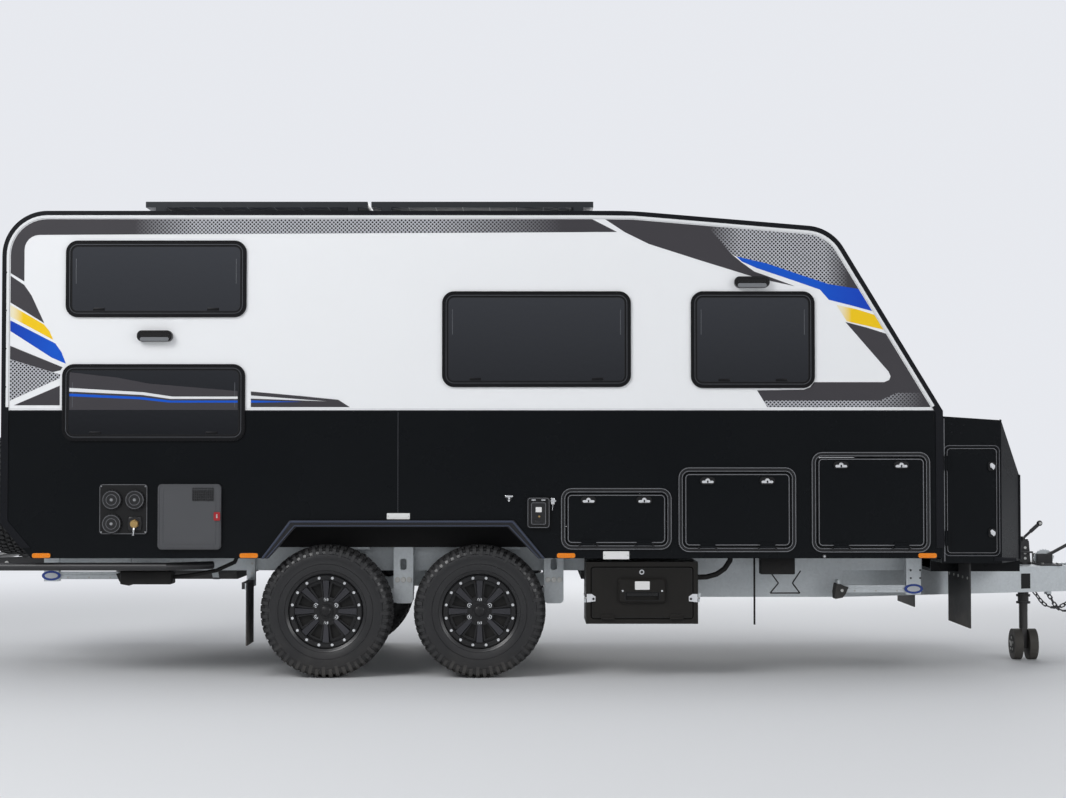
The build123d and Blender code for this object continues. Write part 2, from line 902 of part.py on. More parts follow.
def paddle_latch(x, z, face_y):
    """A moulded latch housing with bevelled edges and a hollow under its lip for the fingers."""
    front_y = face_y - toolbox_latch_depth
    half_width_x = toolbox_latch_width / 2
    half_height = toolbox_latch_height / 2
    shape = rounded(x - half_width_x, x + half_width_x, z - half_height, z + half_height, toolbox_latch_corner)
    housing = across(shape, front_y, face_y)
    housing = chamfer(housing.faces().sort_by(Axis.Y)[0].edges(), toolbox_latch_chamfer)
    grip_z = z - toolbox_grip_drop
    return housing - block(
        x - toolbox_grip_width / 2, x + toolbox_grip_width / 2, front_y - 1, front_y + toolbox_grip_depth,
        grip_z - toolbox_grip_height / 2, grip_z + toolbox_grip_height / 2,
    )


def toolbox():
    """An underslung steel box on the right, with a drop-down front."""
    x0 = rear_x + arch_end + toolbox_after_arch
    x1 = x0 + toolbox_length
    y0 = -(half_width - toolbox_inside_wall)
    y1 = -(rail_middle_y + rail_width / 2)
    wall = toolbox_wall
    top_z = floor_bottom_z - toolbox_top_gap
    shell = block(x0, x1, y0, y1, toolbox_bottom_z, top_z)
    shell -= block(x0 + wall, x1 - wall, y0 - 1 + wall, y1 - wall, toolbox_bottom_z + wall, top_z - wall)
    span = shrunk((x0, x1, toolbox_bottom_z, top_z), toolbox_rim)
    shell -= across(rounded(*span, toolbox_corner), y0 - 1, y0 + wall)
    keep("toolbox_shell", shell)
    inner = shrunk(span, leaf_gap)
    face_y = y0 - toolbox_lid_proud
    lid = across(rounded(*inner, toolbox_corner - leaf_gap), face_y, y0 + wall)
    lid += paddle_latch((x0 + x1) / 2, (inner[2] + inner[3]) / 2 + toolbox_latch_lift, face_y)
    axis_y = face_y - hinge_radius
    half = toolbox_hinge_length / 2
    for x in (x0 + toolbox_hinge_inset, x1 - toolbox_hinge_inset):
        lid += rod((x - half, axis_y, inner[2]), (x + half, axis_y, inner[2]), hinge_radius)
        lid += block(x - half, x + half, axis_y, face_y, inner[2], inner[2] + 3 * hinge_radius)
    keep("toolbox_door", lid)


def chassis():
    """Two box rails with cross members, and outriggers under the floor."""
    x0 = rear_x + rail_rear_gap
    x1 = front_x - wall_thickness
    rails = []
    for side, sign in SIDES:
        y = sign * rail_middle_y
        rails.append(block(x0, x1, y - rail_width / 2, y + rail_width / 2, rail_bottom_z, rail_top_z))
    keep("main_rails", *rails)
    inner = rail_middle_y - rail_width / 2
    outer = rail_middle_y + rail_width / 2
    members = []
    for start in CROSS_MEMBERS:
        x = rear_x + start
        members.append(block(
            x, x + cross_member_width, -inner, inner,
            rail_top_z - cross_member_height, rail_top_z,
        ))
    for start in OUTRIGGERS:
        x = rear_x + start
        for side, sign in SIDES:
            members.append(block(
                x, x + cross_member_width, sign * outer, sign * (half_width - outrigger_end_gap),
                rail_top_z - outrigger_height, rail_top_z,
            ))
    return members


def drawbar_middle_y(x):
    """Half the drawbar's spread at a place along it."""
    bend = front_x - drawbar_bend_behind_nose
    if x <= bend:
        return rail_middle_y
    return rail_middle_y + (drawbar_nose_y - rail_middle_y) * (x - bend) / (drawbar_nose_x - bend)


def drawbar(members):
    """Two box rails under the main rails that close in to the coupling."""
    start = front_x - drawbar_lap
    bend = front_x - drawbar_bend_behind_nose
    nose = drawbar_nose_x
    half = rail_width / 2
    plan = outline([
        (start, rail_middle_y - half), (bend, rail_middle_y - half), (nose, drawbar_nose_y - half),
        (nose, drawbar_nose_y + half), (bend + 8, rail_middle_y + half), (start, rail_middle_y + half),
    ])
    left = upright(plan, drawbar_bottom_z, drawbar_top_z)
    keep("drawbar_rails", left, mirrored(left))
    for place, length in DRAWBAR_CHANNELS:
        x = front_x + place
        y_rear = drawbar_middle_y(x) - half
        y_front = drawbar_middle_y(x + length) - half
        channel = outline([(x, -y_rear), (x + length, -y_front), (x + length, y_front), (x, y_rear)])
        plate = upright(channel, drawbar_bottom_z + channel_foot_gap, drawbar_top_z)
        plate -= rod((jack_x, 0, 0), (jack_x, 0, jack_tube_top_z), jack_tube_radius)
        members.append(plate)
    keep("cross_members", *members)


def coupling():
    """A cast hitch head with a socket that drops over the tow pin, and its long shank."""
    nose = drawbar_nose_x
    head_x = front_x + front_overhang - coupling_head_radius
    z0 = drawbar_bottom_z + 20
    z1 = drawbar_top_z - 10
    shank = block(nose - 60, nose, -drawbar_nose_y + rail_width / 2, drawbar_nose_y - rail_width / 2, z0, z1)
    neck = block(nose, head_x, -coupling_width / 2, coupling_width / 2, z0, z1)
    head = rod((head_x, 0, z0), (head_x, 0, z1 + 10), coupling_head_radius)
    body = shank + neck + head
    body -= rod((head_x, 0, z0 - 1), (head_x, 0, z0 + coupling_socket_depth), coupling_socket_radius)
    post_x = head_x - coupling_lever_behind_head
    post_top = z1 + coupling_lever_rise
    grip_end = (post_x + coupling_lever_reach, 0, post_top + coupling_lever_tilt)
    lever = rod((post_x, 0, z1), (post_x, 0, post_top), coupling_post_radius)
    lever += rod((post_x, 0, post_top), grip_end, coupling_lever_radius)
    keep("coupling", body + lever)


def hand_brake():
    """A shelf across the drawbar rails with the ratchet box and its lever."""
    x = front_x + handbrake_ahead
    half = drawbar_middle_y(x) + rail_width / 2
    shelf_top = drawbar_top_z + drawbar_plate_thickness
    half_length = handbrake_shelf_length / 2
    brake = block(x - half_length, x + half_length, -half, half, drawbar_top_z, shelf_top)
    brake += block(
        x - handbrake_box_length / 2, x + handbrake_box_length / 2,
        -handbrake_box_half_width, handbrake_box_half_width,
        drawbar_top_z, shelf_top + handbrake_box_height,
    )
    lever_y = -handbrake_box_half_width + 10
    foot_z = shelf_top + handbrake_lever_foot
    brake += rod(
        (x, lever_y, foot_z),
        (x + handbrake_lever_reach, lever_y, foot_z + handbrake_lever_rise),
        handbrake_lever_radius,
    )
    keep("handbrake", brake)


def jack():
    """A clamped jack tube, its sliding leg and two jockey wheels turned across the drawbar."""
    x = jack_x
    tube = rod((x, 0, jack_tube_bottom_z), (x, 0, jack_tube_top_z), jack_tube_radius)
    bore = jack_leg_radius + jack_running_clearance
    tube -= rod((x, 0, jack_tube_bottom_z - 1), (x, 0, jack_tube_top_z - 25), bore)
    crank_z = jack_tube_top_z + crank_boss_height
    knob = (x + crank_reach, 0, crank_z + crank_rise)
    tube += rod((x, 0, jack_tube_top_z), (x, 0, crank_z), crank_boss_radius)
    tube += rod((x, 0, crank_z - crank_radius), knob, crank_radius)
    tube += Pos(*knob) * Sphere(crank_knob_radius)
    keep("jack_tube", tube)
    leg = rod((x, 0, jack_fork_z - 1), (x, 0, jack_tube_top_z - 35 - jack_travel), jack_leg_radius)
    gap = jockey_total_width / 2 - jockey_wheel_width
    plate_half = gap - 4
    foot_z = jockey_radius - jack_leg_radius
    leg += block(x - plate_half, x + plate_half, -jack_leg_radius, jack_leg_radius, foot_z, jack_fork_z)
    bore = jockey_pin_radius + axle_running_clearance
    leg -= rod((x - 60, 0, jockey_radius), (x + 60, 0, jockey_radius), bore)
    keep("jack_leg", leg)
    half = jockey_total_width / 2
    wheels = rod((x - half, 0, jockey_radius), (x - gap, 0, jockey_radius), jockey_radius)
    wheels += rod((x + gap, 0, jockey_radius), (x + half, 0, jockey_radius), jockey_radius)
    wheels += rod((x - half - 6, 0, jockey_radius), (x + half + 6, 0, jockey_radius), jockey_pin_radius)
    keep("jockey_wheels", wheels)


def corner_leg(pivot_x, pivot_z, foot_way, sign):
    """A stowed leg that swings down from its bracket; foot_way is -1 where the foot lies to the rear."""
    y = sign * leg_y
    foot_x = pivot_x + foot_way * leg_length
    half_height = leg_height / 2
    y0 = y - leg_width / 2
    y1 = y + leg_width / 2
    arm = block(pivot_x, foot_x, y0, y1, pivot_z - half_height, pivot_z + half_height)
    arm += rod((pivot_x, y0, pivot_z), (pivot_x, y1, pivot_z), half_height)
    near = foot_x - foot_way * leg_foot_thickness
    arm += block(
        near, foot_x, y - leg_foot_width / 2, y + leg_foot_width / 2,
        pivot_z - leg_foot_length / 2, pivot_z + leg_foot_length / 2,
    )
    bore = leg_pin_radius + axle_running_clearance
    arm -= rod((pivot_x, y - leg_width, pivot_z), (pivot_x, y + leg_width, pivot_z), bore)
    return arm


def leg_bracket(pivot_x, pivot_z, sign):
    """Two cheeks and a pin that hang the leg from an outrigger."""
    y = sign * leg_y
    inner = leg_width / 2 + 1
    top = rail_top_z - outrigger_height
    outer = inner + leg_cheek
    part = rod((pivot_x, y - outer, pivot_z), (pivot_x, y + outer, pivot_z), leg_pin_radius)
    for way in (-1, 1):
        part += block(pivot_x - 45, pivot_x + 45, y + way * inner, y + way * outer, pivot_z - 35, top)
    part += block(pivot_x - 45, pivot_x + 45, y - outer, y + outer, top - 12, top)
    return part


def corner_legs():
    brackets = []
    # Name, place of the pivot, pivot height, way the foot lies
    for name, pivot_x, pivot_z, foot_way in (
        ("rear", rear_x + rear_leg_pivot_x, drawbar_top_z - rear_leg_drop, 1),
        ("front", front_x - front_leg_behind_nose, drawbar_top_z - front_leg_drop, -1),
    ):
        for side, sign in SIDES:
            keep("corner_leg_" + name + "_" + side, corner_leg(pivot_x, pivot_z, foot_way, sign))
            brackets.append(leg_bracket(pivot_x, pivot_z, sign))
    return brackets


def tyre(x, y, z):
    """A road tyre with a flat under each pair of tread blocks, seated on its rim. Its axle lies along Y."""
    corner_radius = tyre_radius / cos(pi / tyre_flats)
    tread = RegularPolygon(corner_radius, side_count=tyre_flats, rotation=180 / tyre_flats - 90)
    body = across(tread, -tyre_width / 2, tyre_width / 2)
    shoulders = body.faces().filter_by(Axis.Y).edges()
    body = chamfer(shoulders, tyre_shoulder)
    body -= rod((0, -tyre_width, 0), (0, tyre_width, 0), rim_flange_radius)
    return Pos(x, y, z) * body


def rim(x, y, z, outward, hub_back=hub_length, bored=True):
    """An alloy rim with a stepped barrel, eight spokes and its hub, facing outward along Y."""
    half = rim_width / 2
    inner_radius = rim_flange_radius - rim_wall
    profile = [
        (-half, inner_radius), (-half, rim_flange_radius), (half, rim_flange_radius),
        (half, inner_radius - rim_lip), (half - rim_lip_depth, inner_radius - rim_lip),
        (half - rim_lip_depth - rim_lip, inner_radius),
    ]
    barrel = revolve(make_face(Polyline(*[(0, a, r) for a, r in profile], close=True)), Axis.Y)
    face_y = half - rim_disc_inset
    disc = rod((0, face_y - rim_disc_thickness, 0), (0, face_y, 0), inner_radius + 2)
    half_turn = sin(radians(180 / spoke_count))
    inner_half = spoke_window_inner * half_turn - spoke_hub_width / 2
    outer_half = spoke_window_outer * half_turn - spoke_rim_width / 2
    window = outline([
        (spoke_window_inner, -inner_half), (spoke_window_outer, -outer_half),
        (spoke_window_outer, outer_half), (spoke_window_inner, inner_half),
    ])
    cut = across(window, face_y - rim_disc_thickness - 1, face_y + 1)
    for index in range(spoke_count):
        disc -= Rot(0, 360 / spoke_count * (index + 0.5), 0) * cut
    hub_face = face_y + hub_face_height
    hub = rod((0, face_y - hub_back, 0), (0, hub_face, 0), hub_radius)
    hub += rod((0, hub_face, 0), (0, hub_face + cap_height, 0), cap_radius)
    part = barrel + disc + hub
    if bored:
        bore = axle_pin_radius + axle_running_clearance
        part -= rod((0, face_y - hub_length - 1, 0), (0, face_y - hub_length + axle_pin_length + 2, 0), bore)
    if outward < 0:
        part = part.mirror(Plane.XZ)
    return Pos(x, y, z) * part


def hub_inner_y():
    """Half the width between the inner ends of the wheel hubs."""
    return wheel_y + rim_width / 2 - rim_disc_inset - hub_length


def wheels():
    # Axle name, place along the body
    for axle, x in (("rear", axle_xs[0]), ("front", axle_xs[1])):
        for side, sign in SIDES:
            keep("tyre_" + axle + "_" + side, tyre(x, sign * wheel_y, tyre_radius))
            keep("rim_" + axle + "_" + side, rim(x, sign * wheel_y, tyre_radius, sign))


def coil_spring(x, y, foot_z, head_z):
    """A coil spring wound from flat-sided bar, with a pad at each end."""
    coil_radius = spring_radius - spring_wire / 2
    first_z = foot_z + spring_pad + spring_wire / 2
    rise = head_z - foot_z - 2 * spring_pad - spring_wire
    steps = round(spring_turns * spring_steps_per_turn)
    points = []
    for step in range(steps + 1):
        turn = radians(360 / spring_steps_per_turn * step)
        points.append((x + coil_radius * cos(turn), y + coil_radius * sin(turn), first_z + rise * step / steps))
    path = Polyline(*points)
    bar = Plane(origin=path @ 0, z_dir=path % 0) * RegularPolygon(spring_wire / 2, side_count=6)
    spring = sweep(bar, path=path, transition=Transition.RIGHT)
    pad_height = spring_pad + 2
    for pad_z in (foot_z, head_z - pad_height):
        spring += rod((x, y, pad_z), (x, y, pad_z + pad_height), spring_radius)
    return spring


def damper(x, y, foot_z, head_z):
    """A damper: a thick lower tube and a slimmer rod above it."""
    shoulder_z = head_z - (head_z - foot_z) * damper_rod_share
    part = rod((x, y, foot_z), (x, y, shoulder_z), damper_radius)
    return part + rod((x, y, shoulder_z), (x, y, head_z), damper_rod_radius)


def hanger_plate(pivot_x, y0, y1):
    """An upright plate beside an arm's pivot, rounded at its foot, with a slot under the rail."""
    x0 = pivot_x - bracket_length / 2
    foot_z = arm_pivot_z - hanger_below_pivot
    plate = across(rounded(x0, x0 + bracket_length, foot_z, rail_top_z, hanger_corner), y0, y1)
    plate += block(x0, x0 + bracket_length, y0, y1, rail_bottom_z, rail_top_z)
    slot_top = rail_top_z - hanger_slot_drop
    slot = rounded(
        pivot_x - hanger_slot_width / 2, pivot_x + hanger_slot_width / 2,
        slot_top - hanger_slot_height, slot_top, hanger_slot_width * 0.4,
    )
    return plate - across(slot, y0 - 1, y1 + 1) - across(slot, y1 - 1, y0 + 1)


def running_gear():
    """Trailing arms with their stub axles, hanger brackets, springs and dampers."""
    arms = []
    springs = []
    brackets = []
    arm_outer = wheel_y - tyre_width / 2 - arm_wheel_gap
    arm_inner = arm_outer - arm_width
    arm_mid = (arm_outer + arm_inner) / 2
    for x in axle_xs:
        pivot_x = x + arm_pivot_ahead
        slope = (arm_pivot_z - tyre_radius) / arm_pivot_ahead
        for side, sign in SIDES:
            beam = across(outline([
                (x, tyre_radius - arm_height / 2), (pivot_x, arm_pivot_z - arm_height / 2),
                (pivot_x, arm_pivot_z + arm_height / 2), (x, tyre_radius + arm_height / 2),
            ]), sign * arm_inner, sign * arm_outer)
            boss_y = sign * (hub_inner_y() - hub_end_gap)
            pin_y = sign * (hub_inner_y() + axle_pin_length)
            beam += rod((x, sign * arm_inner, tyre_radius), (x, boss_y, tyre_radius), arm_boss_radius)
            beam += rod((x, sign * arm_outer, tyre_radius), (x, pin_y, tyre_radius), axle_pin_radius)
            bush_ends = [(pivot_x, sign * y, arm_pivot_z) for y in (arm_inner, arm_outer)]
            beam += rod(*bush_ends, arm_bush_radius)
            seat_x = x + spring_ahead
            seat_z = tyre_radius + slope * spring_ahead + arm_height / 2
            seat_top = seat_z + spring_seat_lift
            seat_radius = spring_radius + spring_seat_rim
            beam += rod((seat_x, sign * arm_mid, seat_z - 20), (seat_x, sign * arm_mid, seat_top), seat_radius)
            lug_x = x - damper_behind
            lug_z = tyre_radius - damper_lug_drop
            beam += block(
                lug_x - damper_lug_reach, x, sign * arm_inner, sign * arm_outer,
                lug_z - damper_lug_height, lug_z,
            )
            arms.append(beam)
            tower_z = rail_top_z - spring_tower
            springs.append(coil_spring(seat_x, sign * arm_mid, seat_top, tower_z))
            springs.append(damper(lug_x, sign * arm_mid, lug_z, tower_z))
            rail_face = sign * (rail_middle_y + rail_width / 2)
            tower_y = sign * (arm_outer + 1 + bracket_plate)
            brackets.append(block(
                lug_x - tower_behind_damper, seat_x + tower_ahead_of_spring, rail_face, tower_y,
                tower_z, rail_top_z,
            ))
            near = arm_inner - 1
            hanger = hanger_plate(pivot_x, sign * near, sign * (near - bracket_plate))
            hanger += hanger_plate(pivot_x, sign * (arm_outer + 1), tower_y)
            hanger += block(
                pivot_x - bracket_length / 2, pivot_x + bracket_length / 2, rail_face, tower_y,
                rail_top_z - outrigger_height, rail_top_z,
            )
            brackets.append(hanger)
    keep("trailing_arms", *arms)
    keep("springs_and_dampers", *springs)
    return brackets


def bumper_path():
    """The middle line of the rear bar's right half, from its tab under the wall to the caravan's middle."""
    back_x = -overall_length / 2 + bumper_radius
    side_y = half_width - bumper_inside_wall
    points = [
        (rear_x + bumper_tab_reach, -(side_y - bumper_tab_inset), bumper_z),
        (rear_x + bumper_front_reach, -side_y, bumper_z),
    ]
    for step in range(bumper_bend_steps + 1):
        turn = radians(90 * step / bumper_bend_steps)
        points.append((
            back_x + bumper_bend * (1 - sin(turn)),
            -side_y + bumper_bend * (1 - cos(turn)),
            bumper_z,
        ))
    return points + [(back_x, 0, bumper_z)]


def rear_bumper():
    """A bent tube round the back, two carrier arms and the spare wheel's plate."""
    back_x = -overall_length / 2 + bumper_radius
    path = Polyline(*bumper_path())
    ring = Plane(origin=path @ 0, z_dir=path % 0) * Circle(bumper_radius)
    half_tube = sweep(ring, path=path, transition=Transition.RIGHT)
    tube = half_tube + mirrored(half_tube)
    arms = []
    for sign in (-1, 1):
        y = sign * rail_middle_y
        arms.append(block(back_x, rear_x + rail_rear_gap, y - 25, y + 25, bumper_z - 30, bumper_z + 30))
    post_x0 = rear_x - spare_gap + 12
    post_x1 = rear_x - 14
    post = block(post_x0, post_x1, -45, 45, bumper_z - 30, spare_z + 55)
    bar = block(back_x, post_x0, -45, 45, bumper_z - 30, bumper_z)
    cross = block(post_x0, post_x1, -rail_middle_y, rail_middle_y, bumper_z - 30, bumper_z + 30)
    stub_end = rear_x - spare_gap - tyre_width / 2 - (rim_width / 2 - rim_disc_inset - spare_hub_back)
    stub = rod((post_x0, 0, spare_z), (stub_end, 0, spare_z), spare_stub_radius)
    keep("rear_bumper", tube + arms[0] + arms[1] + bar + cross + post + stub)


def spare_wheel():
    x = rear_x - spare_gap - tyre_width / 2
    turn = Pos(x, 0, spare_z) * Rot(0, 0, 90)
    keep("spare_tyre", turn * tyre(0, 0, 0))
    keep("spare_rim", turn * rim(0, 0, 0, 1, hub_back=spare_hub_back, bored=False))


def mud_flaps():
    flaps = []
    top_z = rail_bottom_z - rear_flap_drop
    x = rear_x + arch_start - rear_flap_before_arch
    rail_face = rail_middle_y + rail_width / 2
    for side, sign in SIDES:
        near_y = sign * (wheel_y - flap_width / 2)
        far_y = sign * (wheel_y + flap_width / 2 - flap_outer_trim)
        flap = block(x, x + flap_thickness, near_y, far_y, rear_flap_bottom_z, top_z)
        flap += block(
            x - flap_bracket_depth, x, sign * rail_face, sign * (wheel_y + flap_bracket_reach),
            top_z - flap_bracket_height, top_z,
        )
        flap += block(
            x - flap_bracket_depth, x, sign * rail_face, sign * (rail_face + flap_hanger_width),
            top_z - flap_bracket_height, rail_top_z - flap_hanger_head_gap,
        )
        flaps.append(flap)
    x = front_x + stone_flap_ahead
    near_y = drawbar_middle_y(x) + rail_width / 2 + stone_flap_rail_gap
    far_y = boot_half_width - stone_flap_boot_gap
    for side, sign in SIDES:
        step_y = sign * boot_nose_half_width
        flap = block(x, x + flap_thickness, sign * near_y, step_y, stone_flap_bottom_z, drawbar_top_z)
        flap += block(x, x + flap_thickness, step_y, sign * far_y, stone_flap_bottom_z, boot_side_bottom_z)
        flaps.append(flap)
    keep("mud_flaps", *flaps)


def roof_fittings():
    panels = []
    y0 = -(half_width - solar_inside_wall)
    y1 = y0 + solar_width
    z = roof_rear_z + solar_feet
    for place in (0, solar_length + solar_between):
        x = rear_x + solar_start + place
        panel = block(x, x + solar_length, y0, y1, z, z + solar_thickness)
        for foot_x in (x + solar_foot_inset, x + solar_length - solar_foot_inset - solar_foot_length):
            panel += block(foot_x, foot_x + solar_foot_length, y0, y1, roof_rear_z, z)
        panels.append(panel)
    keep("solar_panels", *panels)
    domes = []
    half = roof_hatch_size / 2
    # Start of the hatch from the rear wall, its place across
    for start, y in (
        (rear_roof_hatch_start, rear_roof_hatch_y),
        (front_roof_hatch_start, front_roof_hatch_y),
    ):
        x = rear_x + start
        dome = block(x, x + roof_hatch_size, y - half, y + half, roof_rear_z, roof_rear_z + roof_hatch_height)
        domes.append(chamfer(dome.faces().sort_by(Axis.Z)[-1].edges(), roof_hatch_chamfer))
    keep("roof_hatches", *domes)


def lamps():
    ambers = []
    amber_z = body_bottom_z + amber_above_wall_foot
    for place in MARKERS:
        x = rear_x + place
        for side, sign in SIDES:
            ambers.append(block(
                x - amber_length / 2, x + amber_length / 2,
                sign * half_width, sign * (half_width + amber_depth),
                amber_z - amber_height / 2, amber_z + amber_height / 2,
            ))
    porches = []
    for place, z in PORCH_LAMPS:
        x = rear_x + place
        span = (x - porch_length / 2, x + porch_length / 2, z - porch_height / 2, z + porch_height / 2)
        porches.append(across(rounded(*span, porch_height * 0.45), -half_width - porch_depth, -half_width))
    tails = []
    for side, sign in SIDES:
        y = sign * (half_width - tail_lamp_inside_wall)
        tails.append(block(
            rear_x - tail_lamp_depth, rear_x, y - tail_lamp_width / 2, y + tail_lamp_width / 2,
            tail_lamp_z - tail_lamp_height / 2, tail_lamp_z + tail_lamp_height / 2,
        ))
    keep("road_lamps", *ambers, *tails)
    return porches


def wall_fittings(porches):
    """The porch lamps, water filler panel, power inlet and heater cover on the right-hand wall."""
    x = rear_x + arch_start - filler_before_arch
    plate_y = -half_width - filler_plate_depth
    low_z = filler_bottom_z + filler_low_inset
    high_z = filler_bottom_z + filler_height - filler_high_inset
    shape = rounded(x, x + filler_width, filler_bottom_z, filler_bottom_z + filler_height, filler_corner)
    plate = across(shape, plate_y, -half_width)
    left_x = x + filler_rear_inset
    right_x = x + filler_width - filler_front_inset
    for cap_x, z in ((left_x, high_z), (right_x, high_z), (left_x, low_z)):
        plate += rod((cap_x, plate_y, z), (cap_x, plate_y - filler_cap_height, z), filler_cap_radius)
    plate += rod((right_x, plate_y, low_z), (right_x, plate_y - tap_height, low_z), tap_radius)
    x = rear_x + arch_end - inlet_before_arch_end
    shape = rounded(x, x + inlet_width, inlet_bottom_z, inlet_bottom_z + inlet_height, inlet_corner)
    inlet = across(shape, -half_width - inlet_depth, -half_width)
    keep("wall_fittings", *porches, plate, inlet)
    x = rear_x + arch_start - heater_before_arch
    shape = rounded(x, x + heater_width, heater_bottom_z, heater_bottom_z + heater_height, heater_corner)
    keep("heater_cover", across(shape, -half_width - heater_depth, -half_width))


def awning():
    x0 = rear_x + awning_start
    x1 = front_x - awning_front_gap
    y = half_width + awning_radius
    z = roof_rear_z - awning_below_roof
    roll = rod((x0, y, z), (x1, y, z), awning_radius)
    back = block(x0, x1, half_width, y, z - awning_back_height / 2, z + awning_back_height / 2)
    keep("awning_cassette", roll + back)


def entry_step():
    """A step on two runners that slides out below the door, held by a frame under the rail's outside."""
    x0 = rear_x + arch_end + door_after_arch + (door_width - step_width) / 2
    y1 = half_width - step_inside_wall
    z = floor_bottom_z - step_below_floor
    tread = block(x0, x0 + step_width, y1 - step_depth, y1, z, z + step_thickness)
    keep("entry_step", tread)
    runners = []
    for runner_x in (x0 - leaf_gap - step_runner, x0 + step_width + leaf_gap):
        runners.append(block(
            runner_x, runner_x + step_runner, rail_middle_y + rail_width / 2, y1 - runner_end_gap,
            z - runner_foot_drop, z + step_thickness + runner_head_rise,
        ))
    return runners


def water_tanks():
    tanks = []
    half = rail_middle_y - rail_width / 2 - tank_to_rail
    top_z = rail_top_z - tank_floor_gap
    for start in (rear_tank_start, arch_end + front_tank_after_arch):
        x = rear_x + start
        tank = block(x, x + tank_length, -half, half, top_z - tank_height, top_z)
        tanks.append(chamfer(tank.edges().filter_by(Axis.X), tank_chamfer))
    keep("water_tanks", *tanks)


side_walls()
end_walls_and_roof()
floor_and_wheel_boxes()
mouldings_and_arch_trims()
windows()
hatches()
entry_door()
front_boot()
toolbox()
drawbar(chassis())
coupling()
hand_brake()
jack()
wheels()
keep("hanger_brackets", *running_gear(), *corner_legs(), *entry_step())
rear_bumper()
spare_wheel()
mud_flaps()
roof_fittings()
wall_fittings(lamps())
awning()
water_tanks()

os.makedirs("parts", exist_ok=True)
for name, part in PARTS.items():
    export_step(part, "parts/" + name + ".step")
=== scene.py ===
from math import cos, pi, radians, sin

import bmesh
import bpy
from mathutils import Matrix, Vector


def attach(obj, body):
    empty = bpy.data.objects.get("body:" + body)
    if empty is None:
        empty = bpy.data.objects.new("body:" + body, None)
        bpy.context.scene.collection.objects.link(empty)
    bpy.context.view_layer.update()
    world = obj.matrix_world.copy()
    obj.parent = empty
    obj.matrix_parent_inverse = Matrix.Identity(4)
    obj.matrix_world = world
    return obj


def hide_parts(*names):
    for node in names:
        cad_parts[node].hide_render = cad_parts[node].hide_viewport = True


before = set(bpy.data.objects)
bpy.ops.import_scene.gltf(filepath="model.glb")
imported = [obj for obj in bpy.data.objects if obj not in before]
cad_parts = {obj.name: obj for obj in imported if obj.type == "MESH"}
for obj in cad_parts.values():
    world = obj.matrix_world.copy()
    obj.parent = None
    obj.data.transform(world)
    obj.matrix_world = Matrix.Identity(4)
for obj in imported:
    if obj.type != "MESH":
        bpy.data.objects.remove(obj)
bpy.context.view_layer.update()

scene = bpy.context.scene

# Camera, level with the door handles on the service side and turned up a little, as the caravan was seen
camera = bpy.data.objects.new("camera", bpy.data.cameras.new("camera"))
camera.data.lens = 66.4
camera.data.sensor_width = 36.0
camera.location = (-0.224, -13.02, 1.311)
camera_pitch = radians(1.78)
camera.rotation_euler = (pi / 2 + camera_pitch, 0, 0)
scene.collection.objects.link(camera)
scene.camera = camera

# Chassis: two box rails with cross members, outriggers and a drawbar that closes in to the coupling.
# The whole frame is welded from steel and dipped in hot zinc, which leaves a soft grey spangle.
RIGHT, LEFT = -1, 1
both_sides = (("right", RIGHT), ("left", LEFT))
sharp_angle = radians(32)
coat_roughness = 0.05


def feed(tree, inputs, values):
    """A value or a link for each input that is named."""
    for key, value in values.items():
        if isinstance(value, bpy.types.NodeSocket):
            tree.links.new(value, inputs[key])
        else:
            inputs[key].default_value = value


def add_node(tree, kind, values=None, **settings):
    """One node with its settings, fed with values and links."""
    made = tree.nodes.new(kind)
    for key, value in settings.items():
        setattr(made, key, value)
    feed(tree, made.inputs, values or {})
    return made


def new_group(name, inputs, outputs, tree_kind="ShaderNodeTree"):
    """An empty node group. Each socket is named with its start value, or with its kind where it has none."""
    group = bpy.data.node_groups.new(name, tree_kind)
    kinds = {float: "Float", int: "Int", tuple: "Vector"}
    for way, sockets in (("INPUT", inputs), ("OUTPUT", outputs)):
        for label, value in sockets.items():
            kind = value if isinstance(value, str) else kinds[type(value)]
            kind = "Color" if kind == "Vector" and len(value) == 4 else kind
            made = group.interface.new_socket(name=label, in_out=way, socket_type="NodeSocket" + kind)
            if kind != value:
                made.default_value = value
    return group, group.nodes.new("NodeGroupInput").outputs, group.nodes.new("NodeGroupOutput").inputs


def maths(tree, operation, *values):
    """The result of one operation on numbers."""
    return add_node(tree, "ShaderNodeMath", dict(enumerate(values)), operation=operation).outputs[0]


def vector_maths(tree, operation, values):
    """The results of one operation on vectors."""
    return add_node(tree, "ShaderNodeVectorMath", values, operation=operation).outputs


def spot_on(tree):
    """The place of the shaded point on the standing caravan."""
    return add_node(tree, "ShaderNodeTexCoord").outputs["Object"]


def part_of(tree, vector, axis):
    """One of the three numbers of a vector."""
    return add_node(tree, "ShaderNodeSeparateXYZ", {0: vector}).outputs[axis]


def ranged(tree, value, start, end, low=0.0, high=1.0, **settings):
    """A number moved from one range to another and held inside it."""
    values = {"Value": value, "From Min": start, "From Max": end, "To Min": low, "To Max": high}
    return add_node(tree, "ShaderNodeMapRange", values, **settings).outputs[0]


def noise(tree, scale, detail, roughness=0.5):
    """Soft noise over the caravan."""
    values = {"Vector": spot_on(tree), "Scale": scale, "Detail": detail, "Roughness": roughness}
    return add_node(tree, "ShaderNodeTexNoise", values).outputs["Fac"]


def mix_colours(tree, share, one, two):
    """The first colour where the share is none, the second where it is whole."""
    return add_node(tree, "ShaderNodeMix", {0: share, 6: one, 7: two}, data_type="RGBA").outputs[2]


def mix_numbers(tree, share, one, two):
    """The first number where the share is none, the second where it is whole."""
    return add_node(tree, "ShaderNodeMix", {0: share, 2: one, 3: two}).outputs[0]


